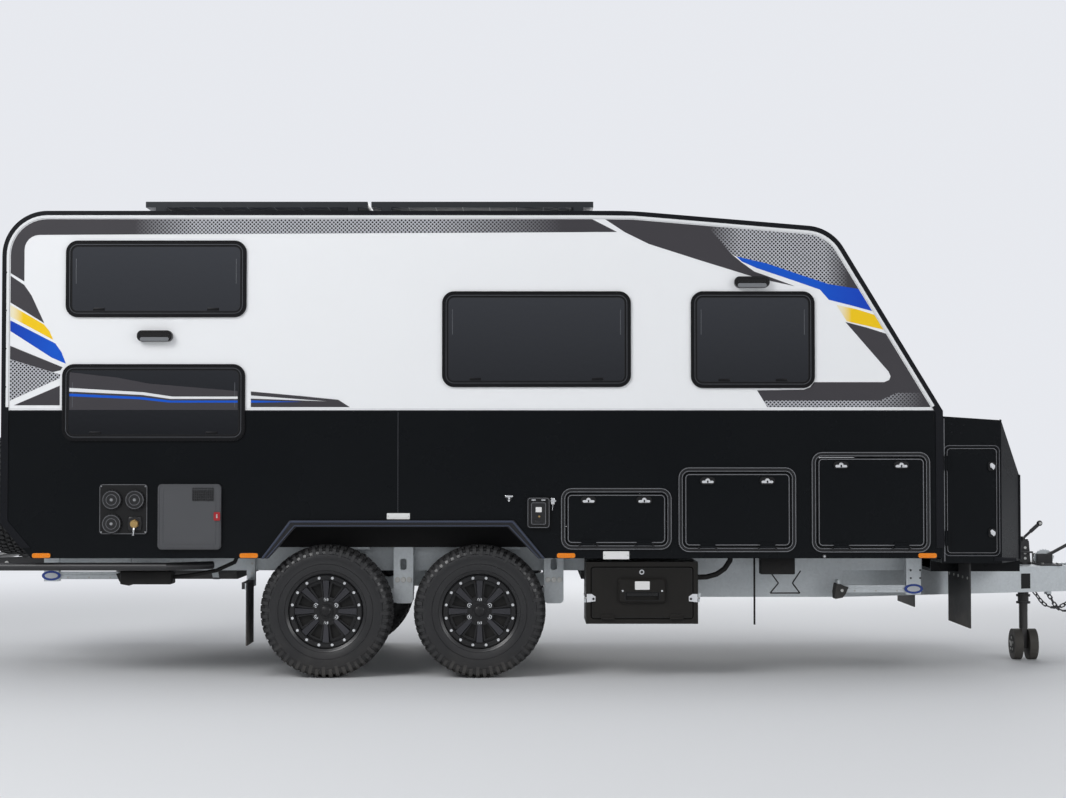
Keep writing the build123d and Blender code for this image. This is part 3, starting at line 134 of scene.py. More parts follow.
def patchy_group():
    """Colour and roughness that wander a little over a surface."""
    group, given, out = new_group("patchy", {
        "Color": (0.5, 0.5, 0.5, 1), "Roughness": 0.4, "Scale": 6.0, "Colour Shift": 0.1,
        "Roughness Shift": 0.08,
    }, {"Color": "Color", "Roughness": "Float"})
    centred = maths(group, "SUBTRACT", noise(group, given["Scale"], 5.0, 0.6), 0.5)
    gain = maths(group, "MULTIPLY_ADD", centred, given["Colour Shift"], 1.0)
    feed(group, out, {
        "Color": vector_maths(group, "SCALE", {0: given["Color"], 3: gain})[0],
        "Roughness": maths(group, "MULTIPLY_ADD", centred, given["Roughness Shift"], given["Roughness"]),
    })
    return group


def dusty_group():
    """Road dust that thickens towards the ground, with a ragged upper edge."""
    group, given, out = new_group("dusty", {
        "Color": (0.5, 0.5, 0.5, 1), "Roughness": 0.4, "Amount": 0.2, "Top": 0.9,
    }, {"Color": "Color", "Roughness": "Float"})
    height = part_of(group, spot_on(group), "Z")
    ragged = maths(group, "MULTIPLY_ADD", noise(group, 9.0, 6.0, 0.65), 0.5, height)
    share = maths(group, "MULTIPLY", ranged(group, ragged, given["Top"], 0.2), given["Amount"])
    dust_colour, dust_roughness = (0.30, 0.27, 0.23, 1), 0.85
    feed(group, out, {
        "Color": mix_colours(group, share, given["Color"], dust_colour),
        "Roughness": mix_numbers(group, share, given["Roughness"], dust_roughness),
    })
    return group


def grain_group():
    """The fine relief of moulded plastic, powder coat or sheet."""
    group, given, out = new_group("grain", {"Fine Scale": 900.0, "Broad Scale": 12.0, "Broad Share": 0.3},
                                  {"Height": "Float"})
    fine, broad = noise(group, given["Fine Scale"], 3.0), noise(group, given["Broad Scale"], 1.0)
    feed(group, out, {"Height": maths(group, "MULTIPLY_ADD", broad, given["Broad Share"], fine)})
    return group


patchy = patchy_group()
dusty = dusty_group()
grain = grain_group()


def finish(name, colour, roughness, metallic=0.0, coat=0.0, shift=0.12, scale=5.0, rough_shift=0.1, dust=0.0,
           dust_top=0.9, fine=900.0, broad=10.0, broad_share=0.4, relief=0.12, depth=0.0006, gloss=0.5):
    """A material with wandering colour, dust towards the ground and a fine relief."""
    made = bpy.data.materials.new(name)
    made.use_nodes = True
    tree = made.node_tree
    wander = add_node(tree, "ShaderNodeGroup", {
        "Color": (*colour, 1), "Roughness": roughness, "Scale": scale, "Colour Shift": shift,
        "Roughness Shift": rough_shift,
    }, node_tree=patchy).outputs
    road = add_node(tree, "ShaderNodeGroup", {
        "Color": wander["Color"], "Roughness": wander["Roughness"], "Amount": dust, "Top": dust_top,
    }, node_tree=dusty).outputs
    height = add_node(tree, "ShaderNodeGroup", {
        "Fine Scale": fine, "Broad Scale": broad, "Broad Share": broad_share,
    }, node_tree=grain).outputs["Height"]
    bump = add_node(tree, "ShaderNodeBump", {"Strength": relief, "Distance": depth, "Height": height})
    feed(tree, tree.nodes["Principled BSDF"].inputs, {
        "Base Color": road["Color"], "Roughness": road["Roughness"], "Metallic": metallic,
        "Coat Weight": coat, "Coat Roughness": coat_roughness, "Specular IOR Level": gloss,
        "Normal": bump.outputs["Normal"],
    })
    return made


def galvanised_finish():
    """Zinc with the faint crystals that grow as it cools."""
    made = finish("galvanised_zinc", (0.66, 0.70, 0.72), 0.42, metallic=0.32, shift=0.10, scale=2.5,
                  dust=0.12, dust_top=0.9, fine=420.0, relief=0.15)
    tree = made.node_tree
    base = tree.nodes["Principled BSDF"].inputs["Base Color"]
    crystals = add_node(tree, "ShaderNodeTexVoronoi", {"Vector": spot_on(tree), "Scale": 70.0}).outputs
    shade = ranged(tree, crystals["Color"], 0.0, 1.0, 0.93, 1.03)
    feed(tree, [base], {0: vector_maths(tree, "SCALE", {0: base.links[0].from_socket, 3: shade})[0]})
    return made


def dress(material, slot, *nodes):
    """The CAD pieces that keep their own mesh and wear this finish."""
    for name in nodes:
        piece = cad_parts[name]
        piece.data.materials.clear()
        piece.data.materials.append(material)


def add_block(bm, low, high, bevel=0.0, tint=0):
    """A box between two corners, its edges broken where a bevel is given."""
    low, high = Vector(low), Vector(high)
    size = Vector([abs(high[i] - low[i]) for i in range(3)])
    matrix = Matrix.Translation((low + high) / 2) @ Matrix.Diagonal((*size, 1))
    made = bmesh.ops.create_cube(bm, size=1, matrix=matrix)["verts"]
    for face in {face for vert in made for face in vert.link_faces}:
        face.material_index = tint
    if bevel:
        edges = {edge for vert in made for edge in vert.link_edges}
        bmesh.ops.bevel(bm, geom=list(edges), offset=bevel, segments=2, affect="EDGES", profile=0.5,
                        material=tint)


def add_rod(bm, start, end, radius, sides=24, end_radius=None, tint=0):
    """A round bar or cone from one point to another."""
    start, end = Vector(start), Vector(end)
    turn = (end - start).to_track_quat("Z", "Y").to_matrix().to_4x4()
    made = bmesh.ops.create_cone(
        bm, cap_ends=True, segments=sides, radius1=radius,
        radius2=radius if end_radius is None else end_radius,
        depth=(end - start).length, matrix=Matrix.Translation((start + end) / 2) @ turn,
    )["verts"]
    for face in {face for vert in made for face in vert.link_faces}:
        face.material_index = tint


def add_peg(bm, x, z, near, far, radius, sides=24, end_radius=None, tint=0):
    """A round bar or cone across the caravan, along Y."""
    add_rod(bm, (x, near, z), (x, far, z), radius, sides, end_radius, tint)


def add_solid(bm, loops, tint=0, hollow=False):
    """A solid through loops of as many points each, capped at its ends, or closed on itself as a ring."""
    loops = [[bm.verts.new(point) for point in loop] for loop in loops]
    made = [] if hollow else [bm.faces.new(loops[0]), bm.faces.new(loops[-1])]
    for one, two in zip(loops, loops[1:] + loops[:1] if hollow else loops[1:]):
        for i in range(len(one)):
            made.append(bm.faces.new((one[i - 1], one[i], two[i], two[i - 1])))
    for face in made:
        face.material_index = tint


def lifted(points, place, axis):
    """A flat outline as points at a place along an axis."""
    return [{"X": (place, a, b), "Y": (a, place, b), "Z": (a, b, place)}[axis] for a, b in points]


def add_plate(bm, points, near, far, axis="Y", tint=0):
    """A flat outline made solid between two places along an axis."""
    add_solid(bm, [lifted(points, near, axis), lifted(points, far, axis)], tint)


def add_ring(bm, outer, inner, near, far, axis="Y", tint=0):
    """A frame between two outlines with as many points each."""
    corners = ((outer, near), (inner, near), (inner, far), (outer, far))
    add_solid(bm, [lifted(points, place, axis) for points, place in corners], tint, hollow=True)


def rounded(x0, x1, z0, z1, corner, steps=6):
    """The outline of a rectangle with round corners."""
    points = []
    for cx, cz, start in ((x1 - corner, z1 - corner, 0), (x0 + corner, z1 - corner, 90),
                          (x0 + corner, z0 + corner, 180), (x1 - corner, z0 + corner, 270)):
        for step in range(steps + 1):
            turn = radians(start + 90 * step / steps)
            points.append((cx + corner * cos(turn), cz + corner * sin(turn)))
    return points


def rounded_at(x, z, half_x, half_z, corner, steps=6):
    """The same outline from its middle and its half sizes."""
    return rounded(x - half_x, x + half_x, z - half_z, z + half_z, corner, steps)


def drawn(bm, name="drawn"):
    """The plain mesh of what has been drawn."""
    bmesh.ops.recalc_face_normals(bm, faces=bm.faces)
    mesh = bpy.data.meshes.new(name)
    bm.to_mesh(mesh)
    bm.free()
    return mesh


def place(name, mesh, materials, body="root", slot=None, stands_for=()):
    """A finished mesh as a piece of the caravan that moves with its body."""
    for material in materials:
        mesh.materials.append(material)
    mesh.shade_smooth()
    mesh.set_sharp_from_angle(angle=sharp_angle)
    piece = bpy.data.objects.new(name, mesh)
    scene.collection.objects.link(piece)
    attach(piece, body)
    if stands_for:
        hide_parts(*stands_for)
    return piece


def keep(name, bm, materials, body="root", slot=None):
    """Closes a mesh that is being drawn and places it."""
    return place(name, drawn(bm, name), materials, body, slot)


galvanised = galvanised_finish()
dress(galvanised, "galvanised", "main_rails", "cross_members", "drawbar_rails", "hanger_brackets",
      "trailing_arms")

# Hanger bolts: three plated hexagon bolts in a row on the outer cheek of each hanger bracket
hanger_xs = {"rear": -1.022, "front": -0.096}
hanger_cheek_y, hanger_bolt_z = 0.886, 0.575
bolt_gap = 0.036


def grown(tree, sizes, bm=None):
    """The plain mesh that a node tree makes, from a drawn start mesh where it needs one."""
    source = bpy.data.objects.new(tree.name, drawn(bm or bmesh.new(), tree.name))
    scene.collection.objects.link(source)
    modifier = source.modifiers.new(tree.name, "NODES")
    modifier.node_group = tree
    for item in tree.interface.items_tree:
        if item.in_out == "INPUT" and item.name in sizes:
            modifier[item.identifier] = sizes[item.name]
    result = bpy.data.meshes.new_from_object(source.evaluated_get(bpy.context.evaluated_depsgraph_get()))
    bpy.data.objects.remove(source)
    return result


def mesh_group(name, inputs):
    """An empty geometry group that gives one painted mesh."""
    return new_group(name, {**inputs, "Material": "Material"}, {"Geometry": "Geometry"}, "GeometryNodeTree")


def on_points(tree, given, values):
    """The start mesh set on each point."""
    return add_node(tree, "GeometryNodeInstanceOnPoints",
                    {"Instance": given["Geometry"], **values}).outputs[0]


def give_painted(tree, given, out, geometry):
    """Makes the instances real, paints them and gives them out."""
    real = add_node(tree, "GeometryNodeRealizeInstances", {0: geometry}).outputs[0]
    painted = add_node(tree, "GeometryNodeSetMaterial", {"Geometry": real, "Material": given["Material"]})
    feed(tree, out, {0: painted.outputs[0]})


def row_tree():
    """Repeats a start mesh in equal steps along a line."""
    tree, given, out = mesh_group("row", {
        "Geometry": "Geometry", "Count": 3, "Start": (0, 0, 0), "Step": (0.1, 0, 0),
    })
    index = add_node(tree, "GeometryNodeInputIndex").outputs[0]
    shift = vector_maths(tree, "SCALE", {0: given["Step"], 3: index})[0]
    spot = vector_maths(tree, "ADD", {0: shift, 1: given["Start"]})[0]
    points = add_node(tree, "GeometryNodePoints", {"Count": given["Count"], "Position": spot}).outputs[0]
    give_painted(tree, given, out, on_points(tree, given, {"Points": points}))
    return tree


row = row_tree()


def place_row(name, bm, count, start, step, material, slot, body="root"):
    """Like pieces in equal steps, drawn once."""
    sizes = {"Count": count, "Start": start, "Step": step, "Material": material}
    place(name, grown(row, sizes, bm), [], body, slot)


bolt_steel = finish("zinc_plated_bolts", (0.55, 0.55, 0.53), 0.38, metallic=0.9, dust=0.2, relief=0.08)
for side, hand in both_sides:
    for axle, x in hanger_xs.items():
        bolt = bmesh.new()
        add_peg(bolt, 0, 0, 0, hand * 0.003, 0.017, 20)
        add_peg(bolt, 0, 0, hand * 0.003, hand * 0.014, 0.014, 6)
        place_row(f"hanger_bolts_{axle}_{side}", bolt, 3,
                  (x - bolt_gap, hand * hanger_cheek_y, hanger_bolt_z), (bolt_gap, 0, 0), bolt_steel,
                  "galvanised")

# Trailing arms: each wheel has its own forged arm, with a coil spring over it and a damper behind.
# The springs are wound from round bar and painted. The dampers have a bright rod under a rubber sleeve.
axle_xs = {"rear": -1.472, "front": -0.546}
arm_middle_y = 0.840
spring_foot_z, spring_head_z = 0.495, 0.761
spring_ahead, damper_behind = 0.160, 0.105
damper_foot_z = 0.370


def coil_tree():
    """A coil spring wound from round bar."""
    tree, given, out = mesh_group("coil",
                                  {"Turns": 5.0, "Coil Radius": 0.05, "Bar Radius": 0.006, "Height": 0.25})
    path = add_node(tree, "GeometryNodeCurveSpiral", {
        "Resolution": 26, "Rotations": given["Turns"], "Start Radius": given["Coil Radius"],
        "End Radius": given["Coil Radius"], "Height": given["Height"],
    })
    section = add_node(tree, "GeometryNodeCurvePrimitiveCircle",
                       {"Resolution": 10, "Radius": given["Bar Radius"]})
    wire = add_node(tree, "GeometryNodeCurveToMesh", {
        "Curve": path.outputs[0], "Profile Curve": section.outputs[0], "Fill Caps": True,
    })
    give_painted(tree, given, out, wire.outputs[0])
    return tree


coil = coil_tree()
black_steel = finish("black_powder_coat", (0.021, 0.021, 0.023), 0.42, coat=0.15, dust=0.10, fine=700,
                     relief=0.18)
chrome = finish("bright_plating", (0.74, 0.75, 0.76), 0.14, metallic=1.0, relief=0.03, shift=0.04)
sleeve_rubber = finish("sleeve_rubber", (0.018, 0.018, 0.018), 0.7, dust=0.25)
for side, hand in both_sides:
    for axle, axle_x in axle_xs.items():
        x, y = axle_x - damper_behind, hand * arm_middle_y
        mesh = grown(coil, {"Turns": 5.5, "Coil Radius": 0.052, "Bar Radius": 0.0075,
                            "Height": spring_head_z - spring_foot_z - 0.02, "Material": black_steel})
        mesh.transform(Matrix.Translation((axle_x + spring_ahead, y, spring_foot_z + 0.006)))
        spring = place(f"coil_spring_{axle}_{side}", mesh, [], slot="black_steel")
        bm = bmesh.new()
        # Tube, rod and sleeve: foot, head, radius, sides, tint
        for z0, z1, radius, count, tint in ((damper_foot_z + 0.02, 0.575, 0.022, 28, 0),
                                            (0.575, 0.70, 0.009, 16, 1), (0.62, spring_head_z, 0.026, 28, 2)):
            add_rod(bm, (x, y, z0), (x, y, z1), radius, count, tint=tint)
        add_peg(bm, x, damper_foot_z + 0.014, y - 0.024, y + 0.024, 0.014, 20)
        damper = keep(f"damper_{axle}_{side}", bm, [black_steel, chrome, sleeve_rubber], slot="black_steel")
        for piece in (spring, damper):
            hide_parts("springs_and_dampers")

# Floor and wheel boxes: a glass-fibre faced ply sandwich, with plastic boxes let in over the wheels.
floor_board = finish("floor_underside", (0.10, 0.10, 0.10), 0.6, dust=0.3, dust_top=1.2, scale=2.5)
# Black plastic, made darker still as painted shade inside the wheel arches.
liner_plastic_and_shade = finish("wheel_box_plastic", (0.008, 0.008, 0.0085), 0.55, dust=0.08, dust_top=1.1, fine=350,
                       relief=0.3, gloss=0.2)
dress(floor_board, "floor_ply", "floor_panel")
dress(liner_plastic_and_shade, "black_plastic", "wheel_boxes")

# Tyres: chunky all-terrain road tyres on eight-spoke alloy rims. Each has a smooth shiny sidewall, and a
# tread of staggered blocks whose outer rows wrap over the shoulder as side biters.
tyre_radius = 0.3985
tread_depth = 0.013
tread_foot = tyre_radius - tread_depth
block_foot = 0.383
shoulder_radius = 0.372
wheel_y, axle_z = 1.0375, 0.4
round_steps = 96
pitches = 56
pitch_turn = 2 * pi / pitches
# Half the section from the bead out to the tread's middle: place across, radius
tyre_profile = [
    (0.103, 0.223), (0.112, 0.226), (0.118, 0.236), (0.1195, 0.238), (0.1225, 0.246), (0.128, 0.270),
    (0.1315, 0.296), (0.1318, 0.318), (0.1295, 0.340), (0.1245, 0.358), (0.116, 0.372), (0.104, 0.381),
    (0.060, tread_foot), (0.0, tread_foot + 0.001),
]
# Outlines of the two inner rows of tread blocks: place round the tyre, place across
middle_block = [(-0.0143, 0.004), (0.004, 0.002), (0.0143, 0.012), (0.013, 0.030), (-0.005, 0.033),
                (-0.0136, 0.024)]
second_block = [(-0.0136, 0.040), (0.007, 0.038), (0.013, 0.048), (0.0116, 0.072), (-0.008, 0.074),
                (-0.0143, 0.060)]


def ring_tree():
    """Repeats a start mesh, drawn on top of the axle, round a wheel that turns about Y."""
    tree, given, out = mesh_group("ring",
                                  {"Geometry": "Geometry", "Count": 8, "Radius": 0.1, "First Turn": 0.0})
    index = add_node(tree, "GeometryNodeInputIndex").outputs[0]
    step = maths(tree, "DIVIDE", 2 * pi, given["Count"])
    turn = maths(tree, "MULTIPLY_ADD", index, step, given["First Turn"])
    across, up = maths(tree, "SINE", turn), maths(tree, "COSINE", turn)
    way = add_node(tree, "ShaderNodeCombineXYZ", {"X": across, "Z": up}).outputs[0]
    spot = vector_maths(tree, "SCALE", {0: way, 3: given["Radius"]})[0]
    points = add_node(tree, "GeometryNodePoints", {"Count": given["Count"], "Position": spot}).outputs[0]
    lean = add_node(tree, "ShaderNodeCombineXYZ", {"Y": turn}).outputs[0]
    give_painted(tree, given, out, on_points(tree, given, {"Points": points, "Rotation": lean}))
    return tree


ring = ring_tree()


def circle(x, z, radius, count):
    """Places in equal steps round a circle, from its top."""
    turns = [2 * pi * k / count for k in range(count)]
    return [(x + radius * sin(turn), z + radius * cos(turn)) for turn in turns]


def turned(profile):
    """A closed ring turned about Y from its section: place across, radius."""
    bm = bmesh.new()
    loops = [[(r * u, a, r * w) for a, r in profile] for u, w in circle(0, 0, 1, round_steps)]
    add_solid(bm, loops, hollow=True)
    return bm


def tread_block(outline, hand):
    """One rubber block on one half of the tread, tapered a little from foot to head."""
    bm = bmesh.new()
    points = [Vector((x, hand * y)) for x, y in outline]
    mid = sum(points, Vector((0, 0))) / len(points)
    top = [(mid.x + (x - mid.x) * 0.88, mid.y + (y - mid.y) * 0.94, tyre_radius) for x, y in points]
    add_solid(bm, [[(x, y, block_foot) for x, y in points], top])
    return bm


def shoulder_biter(hand, foot):
    """A shoulder block that bends down over the tyre's edge, to a foot near the rim."""
    bm = bmesh.new()
    half = 0.0112
    sections = []
    # Place across, inner radius, outer radius, how far the outer face leans out
    for across, inner, outer, lift in ((0.078, 0.386, 0.3975, 0.0), (0.106, 0.378, 0.3935, 0.0),
                                       (0.121, 0.364, 0.3785, 0.0035), (0.1285, foot, foot + 0.004, 0.0035)):
        sections.append([(-half, hand * across, inner), (-half * 0.9, hand * (across + lift), outer),
                         (half * 0.9, hand * (across + lift), outer), (half, hand * across, inner)])
    add_solid(bm, sections)
    return bm


def merge(bm, mesh, tint):
    """Adds a finished mesh to the one that is being drawn."""
    seen = len(bm.faces)
    bm.from_mesh(mesh)
    bm.faces.ensure_lookup_table()
    for face in bm.faces[seen:]:
        face.material_index = tint


def tyre_mesh():
    """The carcass with all its blocks, standing on the origin's axle."""
    bm = bmesh.new()
    merge(bm, drawn(turned(tyre_profile + [(-a, r) for a, r in reversed(tyre_profile[:-1])])), 0)
    # Raised ribs on the sidewall, a pair of plain rings near the bead and one by the shoulder
    for hand in (RIGHT, LEFT):
        for a, r, height in ((0.1222, 0.246, 0.0022), (0.1308, 0.286, 0.0016), (0.1285, 0.345, 0.0018)):
            foot = hand * (a - 0.002)
            merge(bm, drawn(turned([(foot, r - 0.002), (hand * (a + height), r), (foot, r + 0.002)])), 0)
    for face in bm.faces:
        if face.calc_center_median().xz.length > shoulder_radius:
            face.material_index = 1
    for hand in (RIGHT, LEFT):
        stagger = 0.5 if hand == LEFT else 0.0
        for block, count, turn in (
            (tread_block(middle_block, hand), pitches, stagger),
            (tread_block(second_block, hand), pitches, stagger + 0.5),
            (shoulder_biter(hand, 0.330), pitches // 2, 0.25),
            (shoulder_biter(hand, 0.345), pitches // 2, 1.25),
        ):
            merge(bm, grown(ring, {"Count": count, "Radius": 0.0, "First Turn": turn * pitch_turn}, block), 1)
    return drawn(bm, "tyre")


tread_rubber = finish("tread_rubber", (0.024, 0.024, 0.025), 0.70, dust=0.14, dust_top=0.45, fine=500,
                      relief=0.35)
side_rubber = finish("sidewall_rubber", (0.010, 0.010, 0.011), 0.29, dust=0.06, dust_top=0.5, fine=260,
                     relief=0.08, gloss=0.6)
tyre_shape = tyre_mesh()
# Axle and side, place of the axle's end, way that the wheel faces outward
wheels = [(f"{axle}_{side}", Vector((x, hand * wheel_y, axle_z)), hand) for axle, x in axle_xs.items()
          for side, hand in both_sides]
spare_place = Matrix.Translation((-3.6045, 0, 1.090)) @ Matrix.Rotation(pi / 2, 4, "Z")


def place_copy(name, shape, matrix, materials, body, slot, stands_for=()):
    """A copy of a shape that was drawn at the origin, moved to its place."""
    mesh = shape.copy()
    mesh.transform(matrix)
    place(name, mesh, materials, body, slot, stands_for)


rubbers = [side_rubber, tread_rubber]
for name, middle, hand in wheels:
    place_copy(f"dressed_tyre_{name}", tyre_shape, Matrix.Translation(middle), rubbers, f"wheel_{name}",
               "tyre_rubber", (f"tyre_{name}",))
place_copy("dressed_spare_tyre", tyre_shape, spare_place, rubbers, "root", "tyre_rubber", ("spare_tyre",))

# Rims: cast alloy, satin black, each with a ring of sixteen silver bolts in its lip, eight spokes,
# six plated nuts, a plain cap and a rubber valve.
rim_black = finish("satin_black_alloy", (0.006, 0.006, 0.007), 0.34, metallic=0.2, coat=0.2, dust=0.02,
                   relief=0.06, gloss=0.4)
# Black for the brake drums, which fill the rims' insides: real drums, and painted shade behind the spokes.
drum_and_shade_black = finish("brake_drum_paint", (0.010, 0.010, 0.010), 0.55, dust=0.05, relief=0.2, gloss=0.3)
spoke_black = finish("spoke_faces", (0.060, 0.060, 0.066), 0.30, metallic=0.85, relief=0.05)
lip_y = 0.113
lip_bolt_circle = 0.204
nut_circle = 0.06985
disc_y = 0.083


def add_pegs(bm, x, z, rows):
    """Pegs end to end across the caravan: from, to, radius, sides, end radius, tint."""
    for near, far, radius, count, end_radius, tint in rows:
        add_peg(bm, x, z, near, far, radius, count, end_radius, tint)


def rim_details():
    """Lip bolts, spoke ribs, nuts, cap and valve, facing the way of +Y."""
    joined = bmesh.new()
    bolt = bmesh.new()
    add_pegs(bolt, 0, 0, ((lip_y - 0.002, lip_y + 0.003, 0.0085, 16, None, 0),
                          (lip_y + 0.003, lip_y + 0.0085, 0.0062, 6, None, 0)))
    nut = bmesh.new()
    add_pegs(nut, 0, 0, ((disc_y - 0.002, disc_y + 0.004, 0.0135, 20, None, 0),
                         (disc_y + 0.004, disc_y + 0.026, 0.0105, 6, None, 0),
                         (disc_y + 0.026, disc_y + 0.032, 0.0095, 16, 0.004, 0)))
    spoke = bmesh.new()
    points = [(-0.016, 0.074), (0.016, 0.074), (0.027, 0.188), (-0.027, 0.188)]
    add_solid(spoke, [[(x, disc_y - 0.002, z) for x, z in points],
                      [(x * 0.72, disc_y + (0.003 if z < 0.1 else 0.025), z) for x, z in points]])
    # Start mesh, count, radius of its circle, first turn, tint
    for bm, count, radius, turn, tint in ((bolt, 16, lip_bolt_circle, pi / 16, 1),
                                          (nut, 6, nut_circle, 0.0, 1), (spoke, 8, 0.0, 0.0, 2)):
        merge(joined, grown(ring, {"Count": count, "Radius": radius, "First Turn": turn}, bm), tint)
    # Two fine rolled edges on the lip: inner, middle and outer radius, height
    for inner, middle, outer, height in ((0.2155, 0.2185, 0.2215, 0.004), (0.187, 0.1895, 0.192, 0.003)):
        section = [(lip_y - 0.001, inner), (lip_y + height, middle), (lip_y - 0.001, outer)]
        merge(joined, drawn(turned(section)), 0)
    cap = bmesh.new()
    for y, radius, end_radius in ((0.102, 0.040, 0.038), (0.106, 0.033, 0.031), (0.110, 0.031, 0.025),
                                  (0.114, 0.025, 0.012)):
        add_peg(cap, 0, 0, y, y + 0.004, radius, 48, end_radius)
    add_rod(cap, (0.0, 0.070, 0.176), (0.0, 0.103, 0.170), 0.006, 16)
    merge(joined, drawn(cap), 0)
    return drawn(joined, "rim_details")


rim_shape = rim_details()
rim_finishes = [rim_black, chrome, spoke_black]
drum_near, drum_far = 0.020, 0.058
stud_circle = 0.115
for name, middle, hand in wheels:
    facing = Matrix.Translation(middle) @ Matrix.Rotation(pi if hand == RIGHT else 0.0, 4, "Z")
    place_copy(f"dressed_rim_fittings_{name}", rim_shape, facing, rim_finishes, f"wheel_{name}", "rim_black")
    # A dark drum as wide as the rim's inside: a real brake drum that also stands as painted shade behind the
    # spokes.
    bm = bmesh.new()
    face_y = middle.y + hand * drum_far
    add_peg(bm, middle.x, middle.z, face_y, middle.y - hand * drum_near, 0.1905, 64, end_radius=0.186)
    for x, z in circle(middle.x, middle.z, stud_circle, 6):
        add_peg(bm, x, z, face_y, face_y + hand * 0.004, 0.008, 12)
    keep(f"brake_drum_{name}", bm, [drum_and_shade_black], f"wheel_{name}", "rim_black")
    dress(rim_black, "rim_black", f"rim_{name}")
place_copy("spare_rim_fittings", rim_shape, spare_place, rim_finishes, "root", "rim_black")
dress(rim_black, "rim_black", "spare_rim")

# Body walls: white gloss composite panels above and satin black ones below, bonded to a frame.
# The sheet is almost flat, with a slight waviness that shows only in its reflections.
wall_y = 1.220
white_wall = finish("white_gloss_panel", (0.91, 0.92, 0.93), 0.24, coat=0.35, shift=0.015, scale=1.2,
                    rough_shift=0.05, dust=0.05, dust_top=0.95, fine=1400, broad=2.2, broad_share=4.0,
                    relief=0.05, depth=0.002)
black_wall = finish("satin_black_panel", (0.0036, 0.0046, 0.0058), 0.27, coat=0.03, shift=0.10, scale=1.4,
                    dust=0.02, dust_top=1.0, fine=1400, broad=2.6, broad_share=4.0, relief=0.06, depth=0.002,
                    gloss=0.14)
dress(white_wall, "white_wall", "side_wall_upper_right", "side_wall_upper_left", "roof_panel", "rear_wall")
dress(black_wall, "black_wall", "side_wall_lower_right", "side_wall_lower_left", "front_wall")

# Edge mouldings and wheel-arch trims: black powder-coated angle screwed along every edge of the body, and a
# flared moulded lip round each arch with two fine ridges, coloured pale slate blue as a painted highlight.
trim_black = finish("moulding_black", (0.0050, 0.0056, 0.0080), 0.34, dust=0.02, relief=0.10, gloss=0.2)
arch_plastic = finish("arch_plastic", (0.009, 0.009, 0.011), 0.40, dust=0.05, dust_top=1.0, fine=420,
                      relief=0.25, gloss=0.4)
dress(trim_black, "black_steel", "edge_mouldings")
dress(arch_plastic, "black_plastic", "wheel_arch_trims")
split_z = 1.605
white_stripe = finish("white_stripe", (0.80, 0.81, 0.82), 0.3, shift=0.03, relief=0.03)
# Pale grey for the fine line on the panel joint and round each window pane, a painted highlight, and for the
# window stays.
highlight_and_stay_grey = finish("joint_edge", (0.10, 0.105, 0.115), 0.35, metallic=0.3, shift=0.3, scale=14, relief=0.05)
arch_edge = finish("arch_edge", (0.052, 0.064, 0.100), 0.30, metallic=0.3, shift=0.2, scale=6, relief=0.05)
arch_line = [(-1.850, 0.7235), (-1.682, 0.951), (-0.338, 0.951), (-0.152, 0.7235)]


def off_wall(hand, lift):
    """The place across the caravan of a point that stands proud of a side wall."""
    return hand * (wall_y + lift)


def inset_line(points, by):
    """An arch outline moved inwards by a small distance."""
    (x0, z0), (x1, z1), (x2, z2), (x3, z3) = points
    return [(x0 + by, z0), (x1 + by * 0.9, z1 - by), (x2 - by * 0.9, z2 - by), (x3 - by, z3)]


def add_bead(bm, points, radius, y, tint=0):
    """A thin round bead that follows a line in X and Z."""
    for (x0, z0), (x1, z1) in zip(points, points[1:]):
        add_rod(bm, (x0, y, z0), (x1, y, z1), radius, 10, tint=tint)


for side, hand in both_sides:
    bm = bmesh.new()
    # The ridges are coloured pale slate blue: painted highlight along the arch's edge.
    for inset, radius in ((0.008, 0.0065), (0.033, 0.0035)):
        add_bead(bm, inset_line(arch_line, inset), radius, off_wall(hand, 0.026))
    keep(f"arch_ridges_{side}", bm, [arch_edge], slot="black_plastic")
    bm = bmesh.new()
    # First X, last X, foot, head, from and to above the wall, tint
    for x0, x1, z0, z1, near, far, tint in (
        (-3.410, 2.222, split_z - 0.005, split_z + 0.005, 0, 0.003, 0),
        (-3.370, 2.190, split_z + 0.012, split_z + 0.018, 0, 0.0012, 1),
        (-1.038, -1.030, 0.955, split_z, 0, 0.002, 0),
        # A pale line along the joint strip: painted highlight.
        (-1.0348, -1.0332, 0.955, split_z, 0.002, 0.0026, 2),
    ):
        add_block(bm, (x0, off_wall(hand, near), z0), (x1, off_wall(hand, far), z1), tint=tint)
    keep(f"joint_strips_{side}", bm, [trim_black, white_stripe, highlight_and_stay_grey], slot="black_steel")

# Screws in the mouldings: small domed heads at equal steps along the roof, the nose slope and the rear edge.
# Name, first head (X, Z), step (X, Z), count
moulding_rows = [
    ("roof", (-3.050, 2.789), (0.230, 0.0), 15),
    ("shoulder", (0.660, 2.762), (0.200, -0.0167), 5),
    ("nose", (1.690, 2.470), (0.0825, -0.137), 7),
    ("rear", (-3.391, 2.440), (0.0, -0.230), 7),
]
for side, hand in both_sides:
    for name, (x, z), (dx, dz), count in moulding_rows:
        screw = bmesh.new()
        add_peg(screw, 0, 0, 0, hand * 0.0022, 0.006, 12, end_radius=0.0045)
        place_row(f"moulding_screws_{name}_{side}", screw, count, (x, off_wall(hand, 0.006), z), (dx, 0, dz),
                  trim_black, "black_steel")

# Stripes: cut vinyl film in warm grey, blue and yellow, the same on both sides. Fields of round dots fade the
# grey out, as printed film does. The shapes are plain bands and sweeps with nothing written on them.
film_lift, film_thickness = 0.0012, 0.0006


